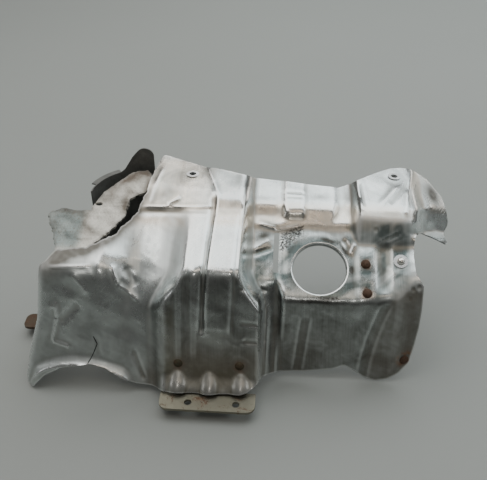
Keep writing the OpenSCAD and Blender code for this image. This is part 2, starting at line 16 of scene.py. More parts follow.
import bpy
import numpy as np
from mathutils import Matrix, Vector

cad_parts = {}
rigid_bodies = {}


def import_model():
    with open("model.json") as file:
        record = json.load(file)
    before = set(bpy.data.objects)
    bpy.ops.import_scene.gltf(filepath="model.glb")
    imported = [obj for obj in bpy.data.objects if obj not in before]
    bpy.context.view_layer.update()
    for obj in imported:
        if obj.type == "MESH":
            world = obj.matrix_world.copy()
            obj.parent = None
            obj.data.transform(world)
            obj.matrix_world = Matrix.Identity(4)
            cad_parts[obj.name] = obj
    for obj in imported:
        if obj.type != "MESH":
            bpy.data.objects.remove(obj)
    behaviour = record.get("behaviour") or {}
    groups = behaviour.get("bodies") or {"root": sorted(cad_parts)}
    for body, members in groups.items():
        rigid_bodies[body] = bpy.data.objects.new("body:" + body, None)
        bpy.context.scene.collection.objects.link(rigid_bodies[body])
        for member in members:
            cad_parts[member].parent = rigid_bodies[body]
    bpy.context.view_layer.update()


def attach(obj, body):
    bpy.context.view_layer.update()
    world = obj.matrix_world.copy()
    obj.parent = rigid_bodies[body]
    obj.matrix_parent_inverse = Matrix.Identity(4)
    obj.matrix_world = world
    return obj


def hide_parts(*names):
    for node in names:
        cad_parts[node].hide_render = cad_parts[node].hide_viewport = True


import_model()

log = logging.getLogger("heat_shield")
# the frame's origin in the sheet's own millimetres, and the tilt of the press plane
ORIGIN = np.array([-8.95, -14.87, 0.0])
PLANE = math.radians(55.0)
# middles on the press plane
PORT = (72.6, 66.0)
EYELETS = ((-48.8, 149.0), (143.5, 155.0))
Array = np.ndarray
Pair = tuple[float, float]
Triple = tuple[float, float, float]
Rows = tuple[tuple[float, ...], ...]


# numbers on arrays


def sstep(t: Array) -> Array:
    """Smooth step: 0 below 0, 1 above 1, and 3t^2 - 2t^3 between."""
    t = np.clip(t, 0.0, 1.0)
    return t * t * (3.0 - 2.0 * t)


def band(t: Array, a: float, b: float, s: float) -> Array:
    """A plateau of height 1 between a and b, whose flanks are smooth steps s wide."""
    return sstep((t - a) / s + 0.5) * sstep((b - t) / s + 0.5)


def softplus(t: Array, r: Array | float) -> Array:
    """Zero on the left and t on the right, joined by a bend of softness r: (t + sqrt(t^2 + r^2)) / 2."""
    return (t + np.sqrt(t * t + r * r)) / 2.0


def ripple(x: Array, q: Array, seed: int, waves: int, short: float, long: float) -> Array:
    """Gentle unevenness: a sum of sines in random directions, with lengths from short to long.

    Args:
        x, q: places on the press plane.
        seed: seed of the directions and phases.
        waves: how many sines are added.
        short, long: the shortest and longest wavelength.

    Returns:
        Values of about -1 to 1.
    """
    rng = np.random.default_rng(seed)
    out = np.zeros(np.broadcast(x, q).shape)
    for _ in range(waves):
        a, p = rng.uniform(0, math.tau, 2)
        k = math.tau / math.exp(rng.uniform(math.log(short), math.log(long)))
        out += np.sin(k * (x * math.cos(a) + q * math.sin(a)) + p + 0.8 * np.sin(0.5 * k * q + a))
    return out / math.sqrt(waves)


def rounded(points: Rows, steps: int = 6) -> Array:
    """An outline whose corners (x, q, radius) are replaced by arcs of that radius.

    Args:
        points: the corners in order.
        steps: pieces in each arc.

    Returns:
        The outline as an (n, 2) array.
    """
    p = np.array(points, float)
    out = []
    for here, before, after in zip(p, np.roll(p, 1, 0), np.roll(p, -1, 0)):
        va, vb = before[:2] - here[:2], after[:2] - here[:2]
        na, nb = np.linalg.norm(va), np.linalg.norm(vb)
        ua, ub = va / na, vb / nb
        half = math.acos(float(np.clip(ua @ ub, -1, 1))) / 2
        cut = min(here[2] / math.tan(half), 0.45 * na, 0.45 * nb)
        r = cut * math.tan(half)
        c = here[:2] + (ua + ub) / np.linalg.norm(ua + ub) * (r / math.sin(half))
        s, e = here[:2] + ua * cut - c, here[:2] + ub * cut - c
        turn = math.atan2(s[0] * e[1] - s[1] * e[0], float(s @ e))
        w = np.linspace(0, turn, 2 if r < 0.4 else steps + 1)
        turned = [s[0] * np.cos(w) - s[1] * np.sin(w), s[0] * np.sin(w) + s[1] * np.cos(w)]
        out.append(c + np.stack(turned, 1))
    return np.concatenate(out)


def resampled(outline: Array, step: float) -> Array:
    """A closed outline at even distances.

    Args:
        outline: its points, as an (n, 2) array.
        step: the distance wanted, which is stretched a little to fit.

    Returns:
        The new points, as an (m, 2) array.
    """
    closed = np.vstack([outline, outline[:1]])
    run = np.concatenate([[0], np.cumsum(np.linalg.norm(np.diff(closed, axis=0), axis=1))])
    at = np.linspace(0, run[-1], max(8, int(run[-1] / step)), endpoint=False)
    return np.stack([np.interp(at, run, closed[:, k]) for k in (0, 1)], 1)


def inside(points: Array, outline: Array) -> Array:
    """Which points lie inside a closed outline, by counting the edges crossed to their right.

    Args:
        points, outline: places as (n, 2) arrays.

    Returns:
        True or false for each point.
    """
    hit = np.zeros(len(points), bool)
    for a, b in zip(outline, np.roll(outline, -1, 0)):
        if a[1] == b[1]:
            continue
        spans = (points[:, 1] < a[1]) != (points[:, 1] < b[1])
        hit ^= spans & (points[:, 0] < a[0] + (points[:, 1] - a[1]) * (b[0] - a[0]) / (b[1] - a[1]))
    return hit


def nearest(points: Array, outline: Array) -> tuple[Array, Array]:
    """The nearest place on a closed outline: the foot on each edge in turn, of which the closest is kept.

    Args:
        points, outline: places as (n, 2) arrays.

    Returns:
        The nearest place for each point, and how far it is.
    """
    best, far = points.copy(), np.full(len(points), 1e9)
    for a, b in zip(outline, np.roll(outline, -1, 0)):
        d = b - a
        t = np.clip(((points - a) @ d) / max(float(d @ d), 1e-12), 0, 1)
        foot = a + t[:, None] * d
        dist = np.hypot(*(points - foot).T)
        closer = dist < far
        best[closer], far[closer] = foot[closer], dist[closer]
    return best, far


def pushed(line: Array, middle: Pair, push: Array) -> Array:
    """An outline whose points are pushed away from a middle place, which leaves it ragged.

    Args:
        line: the outline, as an (n, 2) array.
        middle: the place that the points are pushed away from.
        push: how far each point goes, in millimetres.

    Returns:
        The ragged outline.
    """
    away = line - np.array(middle)
    away /= np.linalg.norm(away, axis=1, keepdims=True)
    return line + away * push[:, None]


def pads(x: Array, q: Array, rows: Rows) -> Array:
    """Flat pads with smooth flanks, added up: height times a band along x times a band along q.

    Args:
        x, q: places on the press plane.
        rows: for each pad its height, then from, to and flank along x, and the same along q.

    Returns:
        The height added.
    """
    return sum(high * band(x, a, b, s) * band(q, c, d, t) for high, a, b, s, c, d, t in rows)


def spots(x: Array, q: Array, rows: Rows, power: float = 1.0) -> Array:
    """Round or oval spots, added up: strength times a bell curve of the distance in the oval's own axes.

    Args:
        x, q: places on the press plane.
        rows: for each spot its place x and q, its two radii, its strength and its turn in degrees.
        power: above 1 for a flatter top and steeper sides.

    Returns:
        The sum; spots with a strength below 0 are dents.
    """
    total = np.zeros(np.broadcast(x, q).shape)
    for cx, cq, long, wide, strength, turn in rows:
        c, s = math.cos(math.radians(turn)), math.sin(math.radians(turn))
        along, across = ((x - cx) * c + (q - cq) * s) / long, ((q - cq) * c - (x - cx) * s) / wide
        total = total + strength * np.exp(-((along**2 + across**2) ** power))
    return total


def creases(x: Array, q: Array, rows: Rows) -> Array:
    """Ridges and grooves along lines, added up.

    Each is its height times a bell curve of the distance to the line, tapered towards both ends.

    Args:
        x, q: places on the press plane.
        rows: for each line x and q of its two ends, its width and its height, below 0 for a groove.

    Returns:
        The height added.
    """
    total = np.zeros(np.broadcast(x, q).shape)
    for ax, aq, bx, bq, width, high in rows:
        dx, dq = bx - ax, bq - aq
        t = np.clip(((x - ax) * dx + (q - aq) * dq) / (dx * dx + dq * dq), 0, 1)
        off = np.hypot(x - ax - t * dx, q - aq - t * dq)
        ends = sstep(t * 5 + 0.35) * sstep((1 - t) * 5 + 0.35)
        total = total + high * ends * np.exp(-((off / width) ** 2))
    return total


# the pressed form; a section is a chain of (y, z) points from the foot up and back to the flange

HOOD = ((-95, 0), (-62, 115), (5, 143), (6, 145), (9, 146), (22, 151), (100, 151))
VALLEY = ((-95, 0), (-64, 96), (0, 140), (2, 142.5), (6, 144), (22, 151), (100, 151))
FLANK = ((-95, 0), (-62, 97), (3, 140), (5, 142.5), (8, 144), (22, 149), (100, 149))
BLOCK_EDGE = ((-103, 0), (-66, 122), (3, 140), (5, 142.5), (8, 144), (20, 149), (100, 149))
BLOCK = ((-103, 0), (-66, 122), (0, 139.5), (1, 140.5), (2, 141), (10, 149), (100, 149))
SIDE = ((-92, 0), (-41, 93.6), (2, 120), (4, 124.5), (13, 126.5), (22, 137.5), (100, 140.5))
SIDE_END = ((-76, 0), (-40.5, 93.6), (2, 120), (4, 124.5), (13, 126.5), (22, 137.5), (100, 139.5))
PANEL = ((-66, 0), (-55, 84.6), (4, 121.5), (6, 125.5), (8.5, 126.5), (17.5, 136.5), (100, 139))
LEDGE = ((-66, 0), (-55, 84.6), (4, 121.5), (6, 126.5), (19, 130), (23.5, 135), (100, 139))
POCKET = ((-66, 0), (-55, 84.6), (-7.5, 114.5), (-0.5, 138.5), (3, 139.5), (8, 143.5), (100, 144))
POCKET_END = ((-66, 0), (-51, 88), (-8, 114), (-1, 137.5), (3.3, 138.5), (8.5, 143.5), (100, 144))
CORNER = ((-63, 0), (-41, 97), (-7, 114), (-1, 136), (3.6, 137), (9, 142), (100, 143))
WING = ((-63, 0), (-41, 97), (-7, 112), (5, 122), (12, 128), (22, 137), (100, 142))


@dataclass(frozen=True)
class PressedForm:
    """The pressed sheet's outer face as a height over the press plane, with the wear of its use.

    A station is a place x with its section and the softness of its lowest bend; soft gives the other
    bends. foot_x stretches x low on the walls, below the first q of foot_q and over the second, and
    end_x is the place x of the left end for each q. The arch is an ellipse: its middle x and q, half
    width and height; its lip has a height and a reach. The foot steps out by a height below a q and has
    beads at foot_beads, each with the q of its top, a height, a half width and a length. The strip has
    its middle x and how far that moves per q. The bands are rows for pads, the wrinkles for creases and
    the dents for spots, and seats are places with the radius that stays plain round them.
    """

    stations: tuple = (
        (-215, HOOD, 4), (-150, HOOD, 5), (-120, HOOD, 12), (-84, VALLEY, 30), (-60, FLANK, 20),
        (-42, BLOCK_EDGE, 7), (-30, BLOCK_EDGE, 7), (-24, BLOCK, 7), (2, BLOCK, 7), (13, SIDE, 6),
        (32, SIDE_END, 6), (45, PANEL, 5), (82, PANEL, 5), (92, LEDGE, 5), (100, LEDGE, 5),
        (108, POCKET, 5), (140, POCKET_END, 6), (158, CORNER, 9), (172, WING, 9), (225, WING, 9))
    soft: tuple[float, ...] = (3, 3, 3, 4)
    foot_x: Rows = ((-215, -215), (-116, -116), (-78, -60), (-60, -42), (-40, -30), (21, 2), (42, 45),
                    (90, 90), (225, 225))
    foot_q: Pair = (66.0, 44.0)
    end_x: Rows = ((-60, -196), (-18, -187), (11, -178), (63, -172.5), (120, -170))
    arch: tuple[float, ...] = (-138, -56, 50, 27)
    arch_lip: Pair = (5.0, 11)
    foot_step: Pair = (5.5, -30)
    foot_beads: tuple[float, ...] = (-48.7, -21.0, 6.7)
    bead: tuple[float, ...] = (-44, 4.5, 9, 17)
    strip: Pair = (-13.2, 0.03)
    strip_bands: Rows = ((1.8, -11.75, 11.75, 4, 8, 110, 8), (-2.0, -15.25, -11.25, 3, 8, 128, 8))
    bands: Rows = (
        (1, -51, -45, 4, -16, 62, 12), (1, -38, -32, 4, -16, 62, 12), (-1.9, 1.5, 5.5, 5, 124, 300, 8),
        (2.2, 39, 58, 5, 112, 300, 10), (-1.6, 88, 97, 8, 120, 300, 8), (1.4, 104, 111, 8, 122, 300, 10),
        (-2.8, 124.5, 134.5, 8, 50, 89, 12), (1, 106, 122, 8, 36, 84, 12))
    wrinkles: Rows = (
        # the left wall of the hood
        (-161, 59.4, -126, 60.9, 1.5, 0.8), (-108, 62, -103, 45, 2.0, 1.5), (-103, 45, -86, 32, 2.4, 1.2),
        (-99, 60, -88, 44, 3.4, -1.2), (-156.9, 28.8, -156.7, 14.2, 1.9, 1.5),
        (-156.7, 14.2, -162.5, -8.4, 2.0, 1.6), (-162.5, -8.4, -146.7, -13.1, 2.4, 1.4),
        (-154.3, 9.8, -136.8, 27.1, 3.5, -1.3), (-140, 54, -128, 36, 3.0, 0.7),
        (-90.6, -13.6, -81, -41.4, 2.4, -1.6), (-123, -3, -121, -20, 2.0, -0.5),
        # the deck and the ribbed block
        (-118, 74, -96, 66, 5.0, 0.5), (3, 47.4, 27, 44.2, 1.8, -0.8), (5.4, 16.9, 28, 15.5, 1.6, -0.9),
        (5.7, 0.8, 29, -0.1, 1.6, -0.9), (-60, 30, -58, -20, 3.0, 0.5),
        # the shelf behind them and the top flange
        (-90, 115.4, -24, 117.8, 1.4, 1.0), (-90, 110.6, -26, 111.9, 1.8, -0.9),
        (-35.9, 158, -27, 141, 1.8, 1.0), (-27, 141, -20.5, 128, 1.8, 1.0),
        (-55.4, 126.4, -67.2, 117.5, 2.2, 1.0), (-78, 156, -82.8, 118.8, 2.4, 1.1),
        (39.7, 135.0, 57, 134.4, 1.3, -1.1), (39.7, 130.2, 57, 129.6, 1.0, -0.9),
        (104, 148, 108.7, 122, 1.6, 0.9), (110, 147, 112, 122, 1.6, -0.8),
        (125, 124.5, 151, 151, 2.0, 1.2), (134, 125.3, 154, 147, 2.2, -1.4),
        (164.7, 164.8, 154.3, 141.5, 1.8, 1.3), (154.3, 141.5, 147.8, 116.7, 1.8, 1.2),
        (163, 122, 180, 128, 2.4, 1.0), (160, 108, 168, 124, 2.0, -1.0),
        # the panel with the port and the lower right wall
        (11.1, 75.4, 29, 82.2, 1.6, -1.2), (12, 80, 27, 90, 2.4, 0.7), (17.6, 104.7, 34, 99.6, 1.7, 0.9),
        (34, 99.6, 55, 103.4, 1.5, 0.7), (99.5, 79, 104, 90, 2.2, 1.2), (98, 84, 94, 92, 2.0, -1.1),
        (128, 92, 142, 100, 1.8, -0.9))
    dents: Rows = (
        # the left wall of the hood
        (-144, 42, 5, 7, -1.3, 20), (-132, 12, 12, 14, -1.6, 0), (-160, 23, 2.4, 2.4, 0.8, 0),
        (-118, 38, 7, 12, -1.0, 10), (-74, -30, 6, 9, -0.9, 0), (-100, 6, 14, 8, -0.8, 0),
        # the deck and the ribbed block
        (-60, 96, 20, 12, -0.3, 0), (-24, 5, 5, 2, 0.7, 10), (8.5, 2, 2, 4, 0.8, -20),
        (-64, 20, 6, 20, -0.7, 0),
        # the shelf behind them and the top flange
        (-66, 136, 9, 7, -0.5, 0), (166, 134, 6, 13, -1.4, 12), (171, 112, 8, 5, 1.6, -30),
        (180, 106, 6, 5, -1.5, 0),
        # the panel with the port and the lower right wall
        (121.6, 103, 2.0, 1.8, -1.2, 0), (102.5, 64, 2.2, 2.8, -0.9, 0), (106.5, 26.8, 7, 6, 0.9, 0),
        (88, 10, 24, 12, -0.8, 0), (140, 10, 12, 20, 0.7, 20), (141, -14, 9, 6, -0.8, 0),
        (52, -12, 6, 14, 0.6, 0), (155, 51, 1.6, 1.4, -0.8, 0), (160, 53, 1.4, 1.8, -0.9, 0),
        (153, 43, 1.6, 1.4, -0.8, 0))
    seats: Rows = (
        (-48.4, -21.5, 5), (5.8, -21.5, 5), (113.3, 71.4, 5), (114.4, 46.3, 5), (144.2, 74.9, 7),
        (153.7, -14.8, 5), (*EYELETS[0], 7), (*EYELETS[1], 7), (-194, 6, 12), (*PORT, 28))

    def base(self, x: Array, q: Array) -> Array:
        """Height of the sections alone.

        Each section is a chain of straight runs joined by soft bends, and a smooth step leads from one
        station's section to the next along x. Low on the walls x is first stretched, as the block is
        wider there.

        Args:
            x, q: places on the press plane.

        Returns:
            The height in millimetres.
        """
        places = np.array([s[0] for s in self.stations], float)
        shape = np.array([s[1] for s in self.stations], float)
        front = np.array([s[2] for s in self.stations], float)
        down = sstep((self.foot_q[0] - q) / self.foot_q[1])
        xs = x * (1 - down) + np.interp(x, *np.array(self.foot_x, float).T) * down
        i = np.clip(np.searchsorted(places, xs, side="right") - 1, 0, len(places) - 2)
        t = sstep((xs - places[i]) / (places[i + 1] - places[i]))
        pts = shape[i] * (1 - t)[..., None, None] + shape[i + 1] * t[..., None, None]
        pq = pts[..., 0] * math.cos(PLANE) + pts[..., 1] * math.sin(PLANE)
        pw = -pts[..., 0] * math.sin(PLANE) + pts[..., 1] * math.cos(PLANE)
        slope = np.diff(pw, axis=-1) / np.diff(pq, axis=-1)
        soft = [front[i] * (1 - t) + front[i + 1] * t, *self.soft]
        w = pw[..., 0] + slope[..., 0] * (q - pq[..., 0])
        for k in range(1, 6):
            w = w + (slope[..., k] - slope[..., k - 1]) * softplus(q - pq[..., k], soft[k - 1])
        return w

    def beads(self, x: Array, q: Array) -> Array:
        """Heights pressed into the sections.

        They are the arch's lip, which fades with the distance to an ellipse, the foot with its domed
        beads, the strip with its groove, bands with smooth flanks, the curved groove beside the lobe,
        and the bends of the wing and of the left end.

        Args:
            x, q: places on the press plane.

        Returns:
            The height added, in millimetres.
        """
        cx, cq, half, rise = self.arch
        lip, reach = self.arch_lip
        arch = cq + rise * np.sqrt(np.clip(1 - ((x - cx) / half) ** 2, 0, 1))
        w = lip * band(x, -184, -94, 14) * (1 - np.clip((q - arch) / reach, 0, 1)) ** 2
        w = w + self.foot_step[0] * band(x, -66, 22, 12) * sstep((self.foot_step[1] - q) / 20)
        top, high, wide, long = self.bead
        above = np.clip(q - top, 0, None) / long
        for middle in self.foot_beads:
            w = w + high * np.clip(1 - ((x - middle) / wide) ** 2 - above**2, 0, None)
        w = w + pads(x - self.strip[0] - self.strip[1] * (q - 60), q, self.strip_bands)
        w = w + pads(x, q, self.bands)
        w = w - 1.5 * band(x - 0.1 * q, 56.5, 63, 4) * band(q, -30, 20, 8)
        w = w - 1.8 * band(x - self.lobe(q), -3.5, 3.5, 5) * band(q, -40, 34, 10)
        w = w - 0.9 * sstep((q - 92) / 12) * softplus(x - 152 - 0.14 * (q - 112), 4)
        end = np.interp(q, *np.array(self.end_x, float).T)
        return w - 5.0 * softplus(end - x, 4) * sstep((end + 36 - x) / 14)

    @staticmethod
    def lobe(q: Array) -> Array:
        """The place x of the lower right lobe's edge: a power curve of the height above its foot."""
        return 117 + 0.0042 * np.clip(q + 36, 0, None) ** 1.9

    def wear(self, x: Array, q: Array) -> Array:
        """Dents, creases and the sheet's own unevenness, held off the seats of the fasteners.

        Args:
            x, q: places on the press plane.

        Returns:
            The height added, in millimetres.
        """
        w = creases(x, q, self.wrinkles) + spots(x, q, self.dents)
        w = w + 0.22 * ripple(x, q, 3, 14, 18, 60) + 0.04 * ripple(x, q, 7, 12, 6, 14)
        w = w + 0.3 * ripple(x, q, 11, 10, 24, 60) * sstep((q - 120) / 10)
        held = 1.0
        for cx, cq, r in self.seats:
            held = held * sstep((np.hypot(x - cx, q - cq) - r) / 5)
        return w * held

    def height(self, x: Array, q: Array) -> Array:
        """Height of the outer face: sections, beads and wear."""
        return self.base(x, q) + self.beads(x, q) + self.wear(x, q)

    @staticmethod
    def place(x: Array, q: Array, w: Array) -> Array:
        """Turns the press plane up by its angle about X and moves it into the part's frame.

        Args:
            x, q, w: places on the press plane and the height over it, in millimetres.

        Returns:
            Points in metres.
        """
        y = q * math.cos(PLANE) - w * math.sin(PLANE)
        z = q * math.sin(PLANE) + w * math.cos(PLANE)
        return (np.stack([x + 0 * y, y, z], -1) - ORIGIN) / 1000

    def skin(self, x: Array, q: Array) -> Array:
        """Points of the outer face in metres."""
        return self.place(x, q, self.height(x, q))


FORM = PressedForm()


# meshes


def normals(skin: Callable[[Array, Array], Array], x: Array, q: Array, e: float) -> Array:
    """Unit normals of a skin, from central differences.

    Args:
        skin: gives points in metres for places x and q.
        x, q: places on the press plane.
        e: half the width of the differences, in millimetres.

    Returns:
        A normal for each place.
    """
    n = np.cross(skin(x + e, q) - skin(x - e, q), skin(x, q + e) - skin(x, q - e))
    return n / np.linalg.norm(n, axis=-1, keepdims=True)


def linked(name: str, data: bpy.types.ID) -> bpy.types.Object:
    """Makes an object for a mesh, lamp or camera and links it to the scene.

    Args:
        name: the object's name.
        data: the mesh, lamp or camera.

    Returns:
        The object.
    """
    thing = bpy.data.objects.new(name, data)
    bpy.context.scene.collection.objects.link(thing)
    return thing


@dataclass
class MeshData:
    """A mesh as arrays: points in metres, faces as index tuples, and values on its points."""

    points: Array
    quads: Array
    uv: Array | None = None
    marks: dict[str, Array] = field(default_factory=dict)

    def joined(self, other: MeshData) -> MeshData:
        """This mesh and another as one.

        Args:
            other: the mesh that is added, whose faces have as many corners.

        Returns:
            Both; marks that one of them lacks are zero there.
        """
        n, m = len(self.points), len(other.points)
        marks = {k: np.concatenate([self.marks.get(k, np.zeros(n)), other.marks.get(k, np.zeros(m))])
                 for k in dict.fromkeys((*self.marks, *other.marks))}
        uv = None if self.uv is None or other.uv is None else np.vstack([self.uv, other.uv])
        quads = np.vstack([self.quads, other.quads + n])
        return MeshData(np.vstack([self.points, other.points]), quads, uv, marks)

    def to_object(self, name: str, sharp: float = 42.0) -> bpy.types.Object:
        """Puts the arrays into a Blender object with smooth faces and sharp edges above an angle.

        Args:
            name: the object's name.
            sharp: edges that turn by more degrees than this are sharp.

        Returns:
            The object, linked to the scene.
        """
        mesh = bpy.data.meshes.new(name)
        faces = self.quads
        mesh.vertices.add(len(self.points))
        mesh.vertices.foreach_set("co", np.ascontiguousarray(self.points, np.float32).ravel())
        mesh.loops.add(faces.size)
        mesh.loops.foreach_set("vertex_index", faces.ravel().astype(np.int32))
        mesh.polygons.add(len(faces))
        mesh.polygons.foreach_set("loop_start", np.arange(0, faces.size, faces.shape[1], dtype=np.int32))
        mesh.update(calc_edges=True)
        if self.uv is not None:
            layer = mesh.uv_layers.new(name="sheet")
            layer.uv.foreach_set("vector", self.uv[faces.ravel()].astype(np.float32).ravel())
        for key, values in self.marks.items():
            mesh.attributes.new(key, "FLOAT", "POINT").data.foreach_set("value", values.astype(np.float32))
        mesh.validate()
        mesh.shade_smooth()
        mesh.set_sharp_from_angle(angle=math.radians(sharp))
        return linked(name, mesh)


def grid_faces(rows: int, columns: int, wrap: bool = False) -> Array:
    """Quads of a grid whose points run column by column within each row.

    Args:
        rows, columns: how many points there are each way.
        wrap: True if each row closes on itself.

    Returns:
        Four point numbers for each quad.
    """
    i, j = np.meshgrid(np.arange(rows - 1), np.arange(columns if wrap else columns - 1), indexing="ij")
    k = (j + 1) % columns
    here, there = i * columns, (i + 1) * columns
    return np.stack([here + j, here + k, there + k, there + j], -1).reshape(-1, 4)


@dataclass
class TrimmedGrid:
    """A square grid on the press plane, cut to an outline and holes, its edge points moved onto them."""

    outline: Array
    holes: tuple[Array, ...]
    step: float

    def __post_init__(self) -> None:
        """Works out the points, quads, edge distances and the grid's rim."""
        lo, hi = self.outline.min(0) - self.step, self.outline.max(0) + self.step
        nx, nq = (np.ceil((hi - lo) / self.step) + 1).astype(int)
        along, up = lo[0] + self.step * np.arange(nx), lo[1] + self.step * np.arange(nq)
        x, q = np.meshgrid(along, up, indexing="ij")
        nodes = np.stack([x.ravel(), q.ravel()], 1)
        cells = grid_faces(nx, nq)[:, ::-1]
        middle = nodes[cells].mean(1)
        keep = inside(middle, self.outline)
        for hole in self.holes:
            keep &= ~inside(middle, hole)
        cells = cells[keep]
        used, quads = np.unique(cells, return_inverse=True)
        quads = quads.reshape(cells.shape)
        nodes = nodes[used]
        edges = np.concatenate([quads[:, [k, (k + 1) % 4]] for k in range(4)])
        key = np.sort(edges, 1)
        _, first, count = np.unique(key, axis=0, return_index=True, return_counts=True)
        rim = edges[first[count == 1]]
        on_rim = np.unique(rim)
        moved, far = nearest(nodes[on_rim], self.outline)
        for hole in self.holes:
            foot, off = nearest(nodes[on_rim], hole)
            moved[off < far], far = foot[off < far], np.minimum(far, off)
        nodes[on_rim] = moved
        self.nodes, self.quads, self.rim = nodes, quads, rim
        self.edge = nearest(nodes, self.outline)[1]

    def solid(self, skin: Callable[[Array, Array], Array], thick: float) -> MeshData:
        """The grid laid on a skin and given a thickness below it.

        Args:
            skin: gives the outer points in metres for arrays x and q.
            thick: thickness in millimetres.

        Returns:
            Outer face, inner face and rim as one closed mesh. The mark "edge" is the distance to the
            outline in millimetres, and "inner" is 1 on the inner face.
        """
        x, q = self.nodes.T
        outer = skin(x, q)
        inner = outer - normals(skin, x, q, 0.4) * thick / 1000
        c = len(outer)
        rim = np.stack([self.rim[:, 1], self.rim[:, 0], self.rim[:, 0] + c, self.rim[:, 1] + c], 1)
        uv = np.tile(self.nodes / 1000, (2, 1))
        marks = {"edge": np.tile(self.edge, 2), "inner": np.repeat([0.0, 1.0], c)}
        quads = np.vstack([self.quads, self.quads[:, ::-1] + c, rim])
        return MeshData(np.vstack([outer, inner]), quads, uv, marks)


# shader maths


def maths(kind: str, swapped: bool = False) -> Callable[[Sock, Sock | float], Sock]:
    """Makes an operator for Sock.

    Args:
        kind: the kind of Math node that it adds.
        swapped: True for a reflected operator, whose own value comes second.

    Returns:
        The method.
    """
    def operator(self: Sock, other: Sock | float) -> Sock:
        """Adds the Math node for two values."""
        values = (other, self) if swapped else (self, other)
        return self.net.node("ShaderNodeMath", {"operation": kind}, dict(enumerate(values)))

    return operator


class Sock:
    """One output of a shader node; arithmetic on it adds the Math nodes that work it out."""

    def __init__(self, net: Net, out: bpy.types.NodeSocket) -> None:
        """Keeps the socket and the net it belongs to."""
        self.net, self.out = net, out

    __add__ = __radd__ = maths("ADD")
    __mul__ = __rmul__ = maths("MULTIPLY")
    __sub__, __rsub__ = maths("SUBTRACT"), maths("SUBTRACT", True)
    least, most = maths("MINIMUM"), maths("MAXIMUM")

    def __neg__(self) -> Sock:
        """The value with its sign turned."""
        return self * -1.0

    def step(self, low: float, high: float) -> Sock:
        """A smooth step.

        Args:
            low, high: where it is 0 and where it is 1; low may be the larger.

        Returns:
            The step's value.
        """
        up = self.net.node("ShaderNodeMapRange", {"interpolation_type": "SMOOTHSTEP"},
                           {"Value": self, "From Min": min(low, high), "From Max": max(low, high)})
        return up if low < high else 1.0 - up


